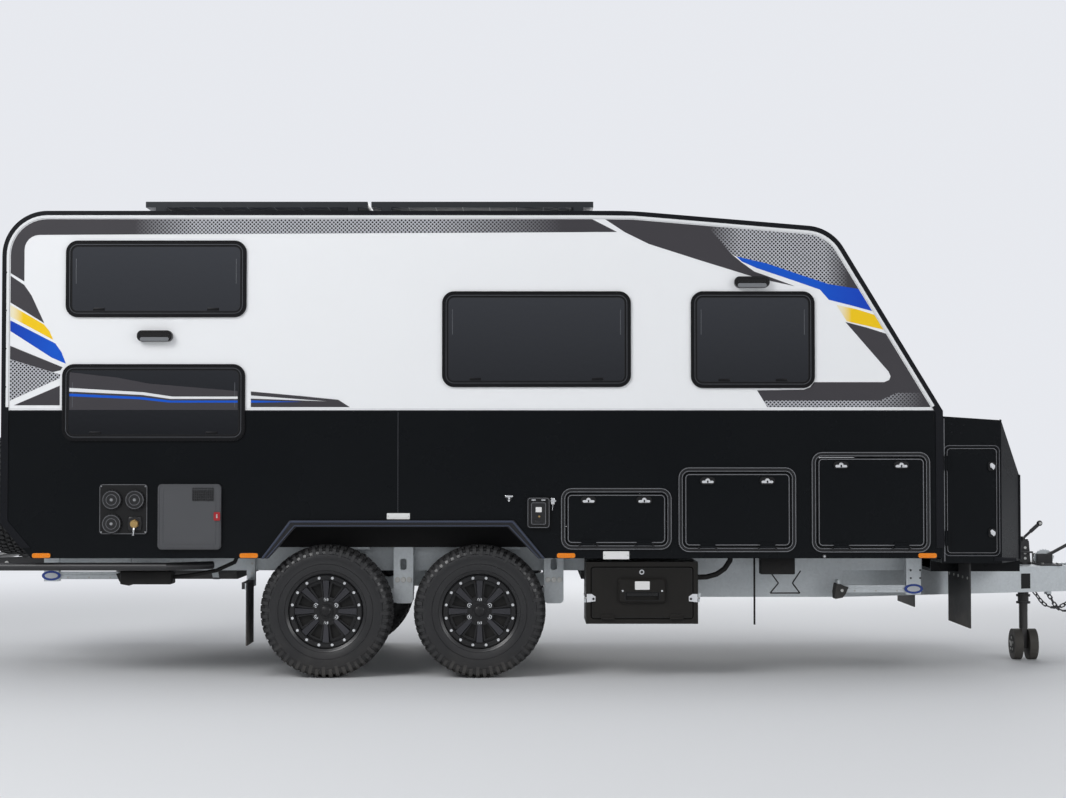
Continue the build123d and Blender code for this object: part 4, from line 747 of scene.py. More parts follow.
def dots_group():
    """Round dots on a slanted grid, and the share of a field that comes and goes along X."""
    group, given, out = new_group("dots", {
        "Pitch": 0.0165, "Dot": 0.36, "Rise From": 0.0, "Rise To": 1.0, "Fall From": 2.0, "Fall To": 3.0,
    }, {"Mask": "Float", "Share": "Float"})
    where = spot_on(group)
    slant = add_node(group, "ShaderNodeMapping",
                     {"Vector": where, "Rotation": (0, radians(45), 0)}).outputs[0]
    grid = vector_maths(group, "SCALE", {0: slant, 3: maths(group, "DIVIDE", 1.0, given["Pitch"])})[0]
    cell = vector_maths(group, "FRACTION", {0: grid})[0]
    centred = vector_maths(group, "SUBTRACT", {0: cell, 1: (0.5, 0.5, 0.5)})[0]
    flat = vector_maths(group, "MULTIPLY", {0: centred, 1: (1, 0, 1)})[0]
    reach = vector_maths(group, "LENGTH", {0: flat})["Value"]
    across = part_of(group, where, "X")
    rise = ranged(group, across, given["Rise From"], given["Rise To"])
    fall = ranged(group, across, given["Fall From"], given["Fall To"], 1.0, 0.0)
    feed(group, out, {"Mask": maths(group, "LESS_THAN", reach, given["Dot"]),
                      "Share": maths(group, "MULTIPLY", rise, fall)})
    return group


dots = dots_group()
ground_grey, dot_black = (0.50, 0.51, 0.54, 1), (0.012, 0.012, 0.015, 1)


def film(name, colour, field_span=None):
    """Cut vinyl, plain or fading into a field of dark dots on a pale ground between four places along X."""
    made = finish(name, colour, 0.35, shift=0.05, scale=2.0, relief=0.04, gloss=0.3)
    if field_span:
        tree = made.node_tree
        base = tree.nodes["Principled BSDF"].inputs["Base Color"]
        spans = dict(zip(("Rise From", "Rise To", "Fall From", "Fall To"), field_span))
        field = add_node(tree, "ShaderNodeGroup", spans, node_tree=dots).outputs
        print_of = mix_colours(tree, field["Mask"], ground_grey, dot_black)
        feed(tree, [base], {0: mix_colours(tree, field["Share"], base.links[0].from_socket, print_of)})
    return made


def blended_film(name, low_colour, high_colour, from_x, to_x):
    """Vinyl printed from one colour into another along X."""
    made = finish(name, low_colour, 0.35, shift=0.03, relief=0.04, gloss=0.3)
    tree = made.node_tree
    share = ranged(tree, part_of(tree, spot_on(tree), "X"), from_x, to_x)
    feed(tree, tree.nodes["Principled BSDF"].inputs, {
        "Base Color": mix_colours(tree, share, (*low_colour, 1), (*high_colour, 1)),
    })
    return made


def arc(cx, cz, radius, start, end, steps=10):
    """Points on a round stretch, its angles in degrees from +X towards +Z."""
    return [(cx + radius * cos(radians(start + (end - start) * k / steps)),
             cz + radius * sin(radians(start + (end - start) * k / steps))) for k in range(steps + 1)]


def add_band(bm, points, width, near, far, tint=0):
    """A flat band of even width on the inner side of a line in X and Z."""
    inner = []
    for k, (x, z) in enumerate(points):
        ax, az = points[max(k - 1, 0)]
        bx, bz = points[min(k + 1, len(points) - 1)]
        length = ((bx - ax) ** 2 + (bz - az) ** 2) ** 0.5
        inner.append((x + width * (bz - az) / length, z - width * (bx - ax) / length))
    for k in range(len(points) - 1):
        add_plate(bm, [points[k], points[k + 1], inner[k + 1], inner[k]], near, far, tint=tint)


# Round stretches of the body's outline: middle, radius, first and last angle, steps
rear_corner = (-3.145, 2.540, 0.227, 180, 90)
nose_knee = (1.411, 2.451, 0.225, 85.2, 31.1, 8)
# A white insert in the mouldings' inner half and a pinstripe beside it, over the roof from rear to nose
pinstripe_line = (
    [(-3.372, 1.629)] + arc(*rear_corner, 12) + [(0.120, 2.767), (0.380, 2.764)]
    + arc(*nose_knee) + [(2.171, 1.629)]
)
for side, hand in both_sides:
    bm = bmesh.new()
    add_band(bm, pinstripe_line, 0.006, hand * wall_y, off_wall(hand, 0.0021))
    add_band(bm, pinstripe_line, -0.017, off_wall(hand, 0.0050), off_wall(hand, 0.0066))
    keep(f"pinstripe_{side}", bm, [white_stripe], slot="white_wall")

film_grey = (0.050, 0.047, 0.053)
film_blue_colour = (0.001, 0.092, 0.60)
film_yellow_colour = (0.93, 0.60, 0.006)
film_cream = (0.88, 0.80, 0.56)
plain_film = film("grey_film", film_grey)
band_film = film("grey_band_film", film_grey, (-2.62, -2.25, -0.85, -0.05))
tail_film = film("grey_tail_film", film_grey, (-3.60, -3.45, -3.00, -2.80))
sweep_film = film("grey_sweep_film", film_grey, (0.84, 1.02, 1.53, 1.67))
foot_film = film("grey_foot_film", film_grey, (1.00, 1.10, 1.75, 2.12))
blue_film = blended_film("blue_film", (0.001, 0.042, 0.44), film_blue_colour, -3.4, -3.1)
blue_front_film = blended_film("blue_front_film", film_blue_colour, (0.001, 0.050, 0.50), 1.45, 1.80)
yellow_rear_film = blended_film("yellow_rear_film", film_cream, film_yellow_colour, -3.35, -3.29)
yellow_front_film = blended_film("yellow_front_film", film_cream, film_yellow_colour, 1.63, 1.69)

roof_band = (
    arc(*rear_corner) + [(0.120, 2.767), (0.282, 2.684)]
    + arc(-3.194, 2.576, 0.090, 90, 180, 6) + [(-3.284, 2.385), (-3.372, 2.439)]
)
dark_sweep = [
    (0.200, 2.767), (0.380, 2.764), (0.818, 2.727), (0.970, 2.551), (1.031, 2.500), (1.107, 2.445),
    (1.183, 2.418), (1.350, 2.357), (1.183, 2.393), (1.107, 2.412), (0.780, 2.513), (0.474, 2.611),
    (0.330, 2.682),
]
dotted_sweep = (
    [(0.818, 2.727)] + arc(*nose_knee)
    + [(1.745, 2.338), (1.555, 2.369), (1.380, 2.427), (1.183, 2.494), (1.000, 2.536), (0.970, 2.551)]
)
front_blue = [
    (1.000, 2.536), (1.183, 2.494), (1.380, 2.427), (1.555, 2.369), (1.745, 2.338), (1.824, 2.204),
    (1.700, 2.238), (1.555, 2.275), (1.502, 2.336), (1.365, 2.384), (1.122, 2.466), (1.034, 2.505),
]
foot_sweep = [
    (1.654, 2.141), (1.780, 2.108), (1.912, 2.066), (2.160, 1.655), (2.160, 1.629), (1.183, 1.629),
    (1.122, 1.730), (1.403, 1.734), (1.440, 1.748), (1.464, 1.779), (1.885, 1.779), (1.915, 1.792),
    (1.924, 1.814), (1.912, 1.842),
]
foot_dots = [(1.183, 1.630), (1.160, 1.668), (1.860, 1.668), (1.960, 1.715), (2.115, 1.715), (2.160, 1.640),
             (2.158, 1.630)]
# Name, film, outline in X and Z, extra lift for what lies on another film
films = [
    ("roof_band", band_film, roof_band, 0),
    ("rear_grey", plain_film,
     [(-3.372, 2.423), (-3.284, 2.364), (-3.240, 2.301), (-3.162, 2.134), (-3.372, 2.262)], 0),
    ("rear_yellow", yellow_rear_film,
     [(-3.372, 2.247), (-3.164, 2.126), (-3.130, 2.085), (-3.108, 2.034), (-3.372, 2.176)], 0),
    ("rear_blue", blue_film,
     [(-3.372, 2.154), (-3.095, 2.012), (-3.057, 1.959), (-3.030, 1.890), (-3.118, 1.928), (-3.372, 2.091)],
     0),
    ("rear_dark", plain_film,
     [(-3.372, 2.000), (-3.050, 1.869), (-3.062, 1.850), (-3.110, 1.839), (-3.372, 1.919)], 0),
    ("rear_dots", tail_film,
     [(-3.372, 1.918), (-3.110, 1.838), (-3.064, 1.826), (-3.068, 1.802), (-3.372, 1.665)], 0),
    ("rear_wedge", plain_film, [(-3.340, 1.640), (-3.066, 1.758), (-3.066, 1.640)], 0),
    ("window_tail", plain_film,
     [(-1.918, 1.723), (-1.600, 1.694), (-1.393, 1.673), (-1.324, 1.629), (-1.918, 1.629)], 0),
    ("window_tail_white", white_stripe, [(-1.918, 1.699), (-1.461, 1.664), (-1.918, 1.680)], 1),
    ("window_tail_line", blue_film, [(-1.918, 1.669), (-1.613, 1.661), (-1.918, 1.655)], 1),
    ("dark_sweep", plain_film, dark_sweep, 0),
    ("dotted_sweep", sweep_film, dotted_sweep, 0),
    ("front_blue", blue_front_film, front_blue, 0),
    ("front_yellow", yellow_front_film,
     [(1.600, 2.244), (1.720, 2.218), (1.848, 2.178), (1.893, 2.093), (1.662, 2.146)], 0),
    ("foot_sweep", plain_film, foot_sweep, 0),
    ("foot_dots", foot_film, foot_dots, 1),
]
for side, hand in both_sides:
    for name, material, points, extra in films:
        bm = bmesh.new()
        add_plate(bm, points, hand * wall_y, hand * (wall_y + film_lift + extra * film_thickness))
        keep(f"film_{name}_{side}", bm, [material], slot="white_wall")

# The bands carry on over the low bunk window, as film on its glass: a grey field with a white and a blue line
bm = bmesh.new()
grey_field = [(-3.006, 1.612), (-1.996, 1.612), (-1.996, 1.725), (-2.530, 1.770), (-2.720, 1.806),
              (-3.006, 1.838)]
white_line = [(-3.006, 1.744), (-2.560, 1.718), (-2.388, 1.692), (-1.996, 1.692), (-1.996, 1.678),
              (-2.400, 1.678), (-2.570, 1.702), (-3.006, 1.722)]
blue_line = [(-3.006, 1.710), (-2.580, 1.690), (-2.395, 1.668), (-1.996, 1.668), (-1.996, 1.656),
             (-2.405, 1.656), (-2.590, 1.676), (-3.006, 1.694)]
for points, near, far, tint in ((grey_field, 0.0080, 0.0086, 0), (white_line, 0.0086, 0.0090, 1),
                                (blue_line, 0.0086, 0.0090, 2)):
    add_plate(bm, points, off_wall(RIGHT, near), off_wall(RIGHT, far), tint=tint)
keep("film_low_window", bm, [plain_film, white_stripe, blue_film], slot="white_wall")

# Windows: hinged acrylic panes, tinted dark, in black frames with rounded corners. Each has a rubber seal
# round the pane and a thin raised border.
glass = finish("tinted_acrylic", (0.105, 0.110, 0.122), 0.035, metallic=1.0, shift=0.05, rough_shift=0.02,
               scale=1.0, fine=40, broad=1.3, broad_share=6.0, relief=0.03, depth=0.002)
frame_plastic = finish("window_frame_plastic", (0.005, 0.005, 0.006), 0.34, fine=700, relief=0.14, gloss=0.2)
seal_rubber = finish("window_seal", (0.006, 0.006, 0.006), 0.55, relief=0.08, gloss=0.3)
dress(glass, "dark_glass", "window_panes")
dress(frame_plastic, "black_plastic", "window_frames")
# First X, last X, sill, head
window_spans = {
    "right": [(-3.032, -1.946, 2.169, 2.631), (-3.050, -1.952, 1.425, 1.887), (-0.770, 0.364, 1.749, 2.325),
              (0.724, 1.468, 1.743, 2.325)],
    "left": [(-3.032, -1.946, 1.749, 2.325), (-1.390, -0.256, 1.749, 2.325), (0.724, 1.468, 1.743, 2.325)],
}
stay_inset, stay_half = 0.062, 0.002
catch_inset, catch_half = 0.20, 0.035
# Seal, raised border and fine line of a window, the fine line pale grey as a painted highlight: inset, width,
# corner, from and to above the wall, tint
window_rims = ((0.028, 0.010, 0.044, 0.0085, 0.0115, 0), (0.004, 0.005, 0.068, 0.012, 0.0145, 1),
               (0.0225, 0.003, 0.049, 0.012, 0.013, 2))


def add_edge_rim(bm, span, inset, width, corner, y, proud, tint=0, steps=6):
    """A raised rim that runs round a leaf (first X, last X, foot, head) at some distance from its edge."""
    x0, x1, z0, z1 = span
    far = inset + width
    add_ring(bm, rounded(x0 + inset, x1 - inset, z0 + inset, z1 - inset, corner, steps),
             rounded(x0 + far, x1 - far, z0 + far, z1 - far, max(corner - width, 0.004), steps), y, y + proud,
             tint=tint)


for side, hand in both_sides:
    bm = bmesh.new()
    for span in window_spans[side]:
        x0, x1, z0, z1 = span
        for inset, width, corner, near, far, tint in window_rims:
            add_edge_rim(bm, span, inset, width, corner, off_wall(hand, near), hand * (far - near), tint)
        # Stays, seen through the pane, and catches at its foot
        for x in (x0 + stay_inset, x1 - stay_inset):
            add_block(bm, (x - stay_half, off_wall(hand, 0.008), z1 - 0.260),
                      (x + stay_half, off_wall(hand, 0.0088), z1 - 0.110), tint=2)
        for x in (x0 + catch_inset, x1 - catch_inset):
            add_block(bm, (x - catch_half, off_wall(hand, 0.0085), z0 + 0.040),
                      (x + catch_half, off_wall(hand, 0.0145), z0 + 0.056), 0.002, tint=1)
    keep(f"window_seals_{side}", bm, [seal_rubber, frame_plastic, highlight_and_stay_grey], slot="black_plastic")

# Hatches: insulated leaves as thick as the wall, in extruded frames. Each has two raised rims round its edge,
# two barrel hinges at its foot, and two oval push locks with a plated key barrel. The thin rims round the
# frame and the fine line on the leaf are pale grey as a painted highlight along the edges.
hatch_frame = finish("hatch_frame_black", (0.0065, 0.0068, 0.0080), 0.30, coat=0.12, dust=0.03, relief=0.12,
                     gloss=0.4)
lock_black = finish("lock_plastic", (0.007, 0.007, 0.0075), 0.28, relief=0.10, gloss=0.4)
lock_silver = finish("lock_silver", (0.80, 0.81, 0.83), 0.30, metallic=0.45, relief=0.03, shift=0.04)
# Pale grey for the fine lines along rims and frame edges: a painted highlight where the edges catch the
# light.
rim_highlight = finish("worn_rim_edge", (0.24, 0.245, 0.26), 0.32, metallic=0.4, shift=0.4, scale=9, relief=0.05)
dress(hatch_frame, "black_plastic", "opening_frames")
leaf_y = 1.234
leaf_inset = 0.035
hatch_frame_lift = 0.010
# Locks and hinges stand at this share of the leaf's length from each end
fitting_share = 0.22
hinge_reach, hinge_half = 0.052, 0.006
# Name, side, first X, last X, foot, head, lock height
hatch_rows = [
    ("galley_hatch", RIGHT, -0.058, 0.608, 0.774, 1.145, 1.071),
    ("middle_hatch", RIGHT, 0.646, 1.354, 0.759, 1.269, 1.187),
    ("tunnel_hatch_right", RIGHT, 1.444, 2.158, 0.757, 1.361, 1.281),
    ("tunnel_hatch_left", LEFT, 1.444, 2.158, 0.757, 1.361, 1.281),
]


def add_push_lock(bm, x, z, y, hand):
    """A plated oval lock on its black base, with a raised barrel in the middle. Its silver lower half is a
    painted highlight on the plated face.
    """
    out = hand * 0.001
    add_ring(bm, rounded_at(x, z, 0.0455, 0.0225, 0.0220),
             rounded_at(x, z, 0.0395, 0.0165, 0.0160), y, y + 11 * out, tint=1)
    add_plate(bm, rounded_at(x, z, 0.0390, 0.0160, 0.0155), y + 9 * out, y + 11 * out, tint=1)
    # Silver lower half: painted highlight on the plated lock.
    add_plate(bm, rounded(x - 0.0350, x + 0.0350, z - 0.0135, z + 0.0010, 0.0070), y + 11 * out, y + 14 * out,
              tint=2)
    add_peg(bm, x, z + 0.001, y + 11 * out, y + 17 * out, 0.0145, 24, end_radius=0.0125, tint=2)
    add_plate(bm, rounded(x - 0.0045, x + 0.0045, z - 0.012, z + 0.002, 0.002), y + 17 * out, y + 17.8 * out,
              tint=1)


for name, hand, x0, x1, z0, z1, lock_z in hatch_rows:
    bm = bmesh.new()
    y = hand * leaf_y
    inner = (x0 + leaf_inset, x1 - leaf_inset, z0 + leaf_inset, z1 - leaf_inset)
    add_edge_rim(bm, inner, 0.004, 0.010, 0.028, y, hand * 0.004)
    # A fine pale line inside the leaf's rim: painted highlight.
    add_edge_rim(bm, inner, 0.0080, 0.0034, 0.024, y + hand * 0.004, hand * 0.0008, tint=3)
    from_end = (inner[1] - inner[0]) * fitting_share
    fitting_xs = (inner[0] + from_end, inner[1] - from_end)
    for x in fitting_xs:
        add_push_lock(bm, x, lock_z, y, hand)
    keep(f"{name}_fittings", bm, [hatch_frame, lock_black, lock_silver, rim_highlight], name, "black_plastic")
    dress(black_wall, "black_wall", name)
    bm = bmesh.new()
    frame_y = off_wall(hand, hatch_frame_lift)
    # Two thin pale rims round the frame: painted highlight along its edges.
    add_edge_rim(bm, (x0, x1, z0, z1), 0.003, 0.0035, 0.062, frame_y, hand * 0.0015, tint=1)
    add_edge_rim(bm, (x0, x1, z0, z1), 0.0225, 0.0030, 0.042, frame_y, hand * 0.0012, tint=1)
    for x in fitting_xs:
        for hinge_x in (x - hinge_reach, x + hinge_reach):
            add_block(bm, (hinge_x - hinge_half, frame_y, inner[2] - 0.024),
                      (hinge_x + hinge_half, off_wall(hand, 0.022), inner[2] - 0.002), 0.002)
    keep(f"{name}_frame_rims", bm, [hatch_frame, rim_highlight], slot="black_plastic")

# Entry door: a white insulated leaf in the same frame, with a tinted window, a recessed pull, a deadlock and
# three hinges on its front edge. A grab handle stands on the wall beside it.
dress(white_wall, "white_wall", "entry_door")
dress(glass, "dark_glass", "entry_door_pane")
bm = bmesh.new()
x0, x1, z0, z1 = -0.025, 0.545, 0.835, 2.535
# The window's distance from the leaf's sides, and how far its foot and head lie below the leaf's head
pane_inset, pane_foot, pane_head = 0.078, 0.802, 0.118
pull_x, pull_foot, pull_head = x0 + 0.060, 1.655, 1.835
add_edge_rim(bm, (x0, x1, z0, z1), 0.003, 0.012, 0.028, leaf_y, 0.004)
add_edge_rim(bm, (x0 + pane_inset, x1 - pane_inset, z1 - pane_foot, z1 - pane_head),
             0.0, 0.030, 0.068, leaf_y, 0.009)
add_plate(bm, rounded(pull_x - 0.038, pull_x + 0.038, pull_foot, pull_head, 0.020),
          leaf_y, leaf_y + 0.014, tint=1)
add_block(bm, (pull_x - 0.024, leaf_y + 0.014, pull_foot + 0.035),
          (pull_x + 0.024, leaf_y + 0.024, pull_foot + 0.080), 0.004, tint=1)
add_peg(bm, pull_x, pull_head - 0.040, leaf_y + 0.013, leaf_y + 0.019, 0.012, 24, tint=2)
skirt_x0, skirt_x1, skirt_foot, skirt_cut = x0 + 0.016, x1 - 0.016, z0 + 0.016, 0.026
skirt = [(skirt_x0, skirt_foot + skirt_cut), (skirt_x0 + skirt_cut, skirt_foot),
         (skirt_x1 - skirt_cut, skirt_foot), (skirt_x1, skirt_foot + skirt_cut),
         (skirt_x1, split_z), (skirt_x0, split_z)]
add_plate(bm, skirt, leaf_y, leaf_y + 0.0015, tint=3)
keep("entry_door_fittings", bm, [hatch_frame, lock_black, chrome, black_wall], "entry_door", "black_plastic")
bm = bmesh.new()
grab_x, grab_y, grab_foot, grab_head = -0.170, wall_y + 0.055, 1.18, 1.56
add_rod(bm, (grab_x, grab_y, grab_foot), (grab_x, grab_y, grab_head), 0.013, 24)
for z in (grab_foot, grab_head):
    add_pegs(bm, grab_x, z,
             ((wall_y, grab_y, 0.012, 20, None, 0), (wall_y, wall_y + 0.006, 0.026, 28, None, 1)))
    elbow = Matrix.Translation((grab_x, grab_y, z))
    bmesh.ops.create_uvsphere(bm, u_segments=20, v_segments=10, radius=0.013, matrix=elbow)
keep("grab_handle", bm, [black_steel, lock_black], slot="black_steel")

# Rear wall: its lower half carries the same black sheet as the sides, down over the sloping foot
rear_wall_x = -3.410
sheet_y = 1.182
sheet_foot = 0.934
bm = bmesh.new()
add_block(bm, (rear_wall_x, -sheet_y, sheet_foot), (rear_wall_x - 0.002, sheet_y, split_z))
add_block(bm, (rear_wall_x - 0.002, -sheet_y, split_z - 0.006),
          (rear_wall_x - 0.005, sheet_y, split_z + 0.006), tint=1)
slope = [(rear_wall_x - 0.002, sheet_foot), (rear_wall_x, sheet_foot), (-3.2295, 0.7235), (-3.2315, 0.7225)]
add_plate(bm, slope, -sheet_y, sheet_y)
keep("rear_wall_sheet", bm, [black_wall, trim_black], slot="black_wall")

# Front boot: a black composite box across the drawbar for gas bottles and gear, with trimmed corners, a door
# on each side with small T handles, and a flat top that slopes to the front.
dress(black_wall, "black_wall", "boot_shell", "boot_door_right", "boot_door_left")
boot_y = 1.200
frame_span = (2.240, 2.582, 0.733, 1.403)
door_span = (2.253, 2.568, 0.746, 1.390)
# A turned lever's outline round the spindle of a door handle
lever = [(-0.014, 0.012), (-0.002, 0.021), (0.017, 0.006), (0.017, -0.008), (0.007, -0.020), (-0.004, -0.008)]
handle_x, handle_zs = 2.528, (0.875, 1.274)
for side, hand in both_sides:
    bm = bmesh.new()
    y = hand * boot_y
    add_plate(bm, [(2.233, 0.700), (2.249, 0.700), (2.249, 1.566), (2.233, 1.567)], y, y + hand * 0.006)
    # A pale line down the corner moulding: painted highlight.
    add_block(bm, (2.2435, y + hand * 0.006, 0.705), (2.248, y + hand * 0.0068, 1.560), tint=2)
    add_block(bm, (2.545, y, 0.706), (2.676, y + hand * 0.004, 0.728), 0.001)
    for x, z in ((2.292, 1.478), (2.292, 1.528), (2.352, 1.474), (2.368, 1.522)):
        add_peg(bm, x, z, y, y + hand * 0.0025, 0.0055, 12)
    add_edge_rim(bm, frame_span, 0.0, 0.012, 0.036, y, hand * 0.0045)
    # A fine pale line inside the frame's rim: painted highlight.
    add_edge_rim(bm, frame_span, 0.004, 0.002, 0.032, y + hand * 0.0045, hand * 0.0008, tint=2)
    keep(f"boot_trim_{side}", bm, [trim_black, bolt_steel, rim_highlight], slot="black_wall")
    bm = bmesh.new()
    y = hand * (boot_y + 0.006)
    add_edge_rim(bm, door_span, 0.006, 0.007, 0.024, y, hand * 0.003)
    # A fine pale line inside the door's rim: painted highlight.
    add_edge_rim(bm, door_span, 0.0085, 0.002, 0.022, y + hand * 0.003, hand * 0.0008, tint=2)
    for z in handle_zs:
        add_plate(bm, rounded_at(handle_x, z, 0.020, 0.026, 0.012), y, y + hand * 0.012)
        add_peg(bm, handle_x, z, y + hand * 0.012, y + hand * 0.020, 0.010, 20, tint=1)
        add_plate(bm, [(handle_x + u, z + w) for u, w in lever], y + hand * 0.018, y + hand * 0.025, tint=1)
    keep(f"boot_door_{side}_fittings", bm, [lock_black, lock_silver, rim_highlight], f"boot_door_{side}",
         "black_wall")
# Corner mouldings of the boot's nose and a stiffening rib across its front face
bm = bmesh.new()
for start, end in (((2.780, -0.860, 0.700), (2.780, -0.860, 1.210)),
                   ((2.780, 0.860, 0.700), (2.780, 0.860, 1.210)),
                   ((2.780, -0.862, 1.2145), (2.780, 0.862, 1.2145)),
                   ((2.588, -1.19, 1.548), (2.588, 1.19, 1.548))):
    add_rod(bm, start, end, 0.008, 14)
keep("boot_nose_trim", bm, [trim_black], slot="black_wall")

# Toolbox: a folded steel box hung under the right-hand rail, powder coated, with a drop-down lid, a moulded
# paddle latch, a key barrel above it and a folding stay at each end.
box_black = finish("toolbox_powder_coat", (0.0105, 0.0095, 0.0082), 0.42, coat=0.05, dust=0.03, fine=700,
                   relief=0.2, gloss=0.2)
dress(box_black, "black_steel", "toolbox_shell", "toolbox_door")
label_white = finish("bare_label", (0.78, 0.78, 0.77), 0.4, shift=0.03, relief=0.03)
bm = bmesh.new()
lid_y = -1.204
latch_y = lid_y - 0.026
latch_x, latch_z = 0.430, 0.529
paddle_z, paddle_half = 0.497, 0.096
label_z = 0.561
latch_screw_reach = 0.118
add_ring(bm, rounded_at(latch_x, paddle_z, 0.106, 0.026, 0.008),
         rounded_at(latch_x, paddle_z, 0.099, 0.022, 0.005), latch_y, latch_y - 0.002)
add_block(bm, (latch_x - paddle_half, latch_y + 0.004, paddle_z),
          (latch_x + paddle_half, latch_y + 0.012, paddle_z + 0.021), 0.003)
add_plate(bm, rounded_at(latch_x, label_z, 0.044, 0.025, 0.004), latch_y, latch_y - 0.0008, tint=3)
for x in (latch_x - latch_screw_reach, latch_x + latch_screw_reach):
    add_peg(bm, x, latch_z, latch_y, latch_y - 0.002, 0.006, 16, tint=2)
add_pegs(bm, 0.428, 0.640,
         ((lid_y, lid_y - 0.006, 0.015, 24, None, 2), (lid_y - 0.006, lid_y - 0.009, 0.008, 20, None, 0)))
add_edge_rim(bm, (0.127, 0.733, 0.363, 0.667), 0.004, 0.0025, 0.012, lid_y, -0.001)
# An over-centre catch at each end, its outline as places inwards from its middle and heights
catch = [(-0.026, 0.459), (0.026, 0.466), (0.026, 0.494), (0.004, 0.509), (-0.026, 0.509)]
for x, way in ((0.124, 1), (0.736, -1)):
    add_plate(bm, [(x + u * way, z) for u, z in catch], lid_y - 0.001, lid_y - 0.006, tint=4)
    add_peg(bm, x + 0.014 * way, 0.480, lid_y - 0.006, lid_y - 0.010, 0.007, 20)
keep("toolbox_lid_fittings", bm, [lock_black, highlight_and_stay_grey, chrome, label_white, lock_silver], "toolbox_door",
     "black_steel")
bm = bmesh.new()
for x, way in ((0.094, -1), (0.766, 1)):
    stay = [(x - 0.010, 0.458), (x + 0.010, 0.458), (x + 0.016 * way, 0.512), (x - 0.012, 0.512)]
    add_plate(bm, stay, -1.196, -1.190)
    add_rod(bm, (x - way * 0.010, -1.198, 0.485), (x + way * 0.010, -1.198, 0.485), 0.006, 14, tint=1)
keep("toolbox_stays", bm, [galvanised, bolt_steel], slot="galvanised")

# Drawbar nose: cast coupling for an upright pin, black, with its release lever. Two dark steel chains hang
# from galvanised lugs beside it in slack loops, and end at lugs on the drawbar's sides.
dress(black_steel, "black_steel", "coupling")
chain_steel = finish("dark_chain_steel", (0.10, 0.10, 0.105), 0.45, metallic=0.85, shift=0.3, scale=30,
                     relief=0.15)
chain_pitch = 0.030
link_length, link_width, link_bar = 0.046, 0.030, 0.0045
# A chain's path on the left-hand side, from its lug to the place where it is parked
chain_spots = [(3.46, 0.098, 0.535), (3.35, 0.112, 0.375), (3.235, 0.150, 0.330), (3.120, 0.200, 0.445)]


def chain_tree():
    """Links set along a path, every second one turned on its side."""
    tree, given, out = mesh_group("chain", {"Geometry": "Geometry", "Path": "Object", "Pitch": 0.03})
    path = add_node(tree, "GeometryNodeObjectInfo", {"Object": given["Path"]}).outputs["Geometry"]
    points = add_node(tree, "GeometryNodeCurveToPoints", {"Curve": path, "Length": given["Pitch"]},
                      mode="LENGTH").outputs
    index = add_node(tree, "GeometryNodeInputIndex").outputs[0]
    roll = maths(tree, "MULTIPLY", maths(tree, "MODULO", index, 2.0), pi / 2)
    spin = add_node(tree, "ShaderNodeCombineXYZ", {"X": roll}).outputs[0]
    along = add_node(tree, "FunctionNodeAlignRotationToVector", {"Vector": points["Tangent"]},
                     axis="X").outputs[0]
    turn = add_node(tree, "FunctionNodeRotateRotation", {"Rotation": along, "Rotate By": spin},
                    rotation_space="LOCAL")
    links = on_points(tree, given, {"Points": points["Points"], "Rotation": turn.outputs[0]})
    give_painted(tree, given, out, links)
    return tree


def chain_link():
    """One oval link, its long way along X."""
    bm = bmesh.new()
    half = link_width / 2 - link_bar
    straight = link_length / 2 - link_width / 2
    bends, sides = 16, 7
    loops = []
    for k in range(bends):
        turn = 2 * pi * (k + 0.5) / bends
        away = Vector((cos(turn), sin(turn), 0))
        middle = away * half + Vector((straight if cos(turn) > 0 else -straight, 0, 0))
        loops.append([middle + away * w + Vector((0, 0, u)) for u, w in circle(0, 0, link_bar, sides)])
    add_solid(bm, loops, hollow=True)
    return bm


chain = chain_tree()
for side, hand in both_sides:
    curve = bpy.data.curves.new("chain_path", "CURVE")
    curve.dimensions = "3D"
    spline = curve.splines.new("BEZIER")
    spline.bezier_points.add(len(chain_spots) - 1)
    for point, (x, y, z) in zip(spline.bezier_points, chain_spots):
        point.co = (x, hand * y, z)
        point.handle_left_type = point.handle_right_type = "AUTO"
    path = bpy.data.objects.new("chain_path", curve)
    scene.collection.objects.link(path)
    mesh = grown(chain, {"Path": path, "Pitch": chain_pitch, "Material": chain_steel}, chain_link())
    bpy.data.objects.remove(path)
    place(f"safety_chain_{side}", mesh, [], slot="black_steel")
bm = bmesh.new()
for hand in (RIGHT, LEFT):
    add_block(bm, (3.440, hand * 0.086, 0.505), (3.490, hand * 0.100, 0.565), 0.003)
    add_block(bm, (3.100, hand * 0.196, 0.440), (3.145, hand * 0.212, 0.475), 0.003)
    for x in (3.60, 3.66):
        add_peg(bm, x, 0.555, hand * 0.042, hand * 0.049, 0.013, 6, tint=1)
keep("chain_lugs", bm, [galvanised, bolt_steel], slot="galvanised")

# Hand brake: a black lever on a toothed quadrant bolted across the drawbar, with a ribbed rubber grip and a
# plated release button.
dress(black_steel, "black_steel", "handbrake")
grip_start, grip_end = Vector((3.290, -0.060, 0.738)), Vector((3.404, -0.060, 0.817))
grip_way = (grip_end - grip_start).normalized()
grip_ribs, rib_first, rib_step = 9, 0.08, 0.105
bm = bmesh.new()
add_rod(bm, grip_start, grip_end, 0.0165, 28)
for k in range(grip_ribs):
    middle = grip_start.lerp(grip_end, rib_first + k * rib_step)
    add_rod(bm, middle - grip_way * 0.003, middle + grip_way * 0.003, 0.0185, 28)
add_rod(bm, grip_end, grip_end + grip_way * 0.010, 0.006, 16, tint=1)
keep("handbrake_grip", bm, [sleeve_rubber, chrome], slot="black_steel")
pivot = Vector((3.140, 0.655))
tooth_reach, notch_share = 0.072, 0.92
teeth = [pivot + tooth_reach * Vector((cos(radians(a)), sin(radians(a)))) for a in range(20, 171, 15)]
outline = [teeth[0]]
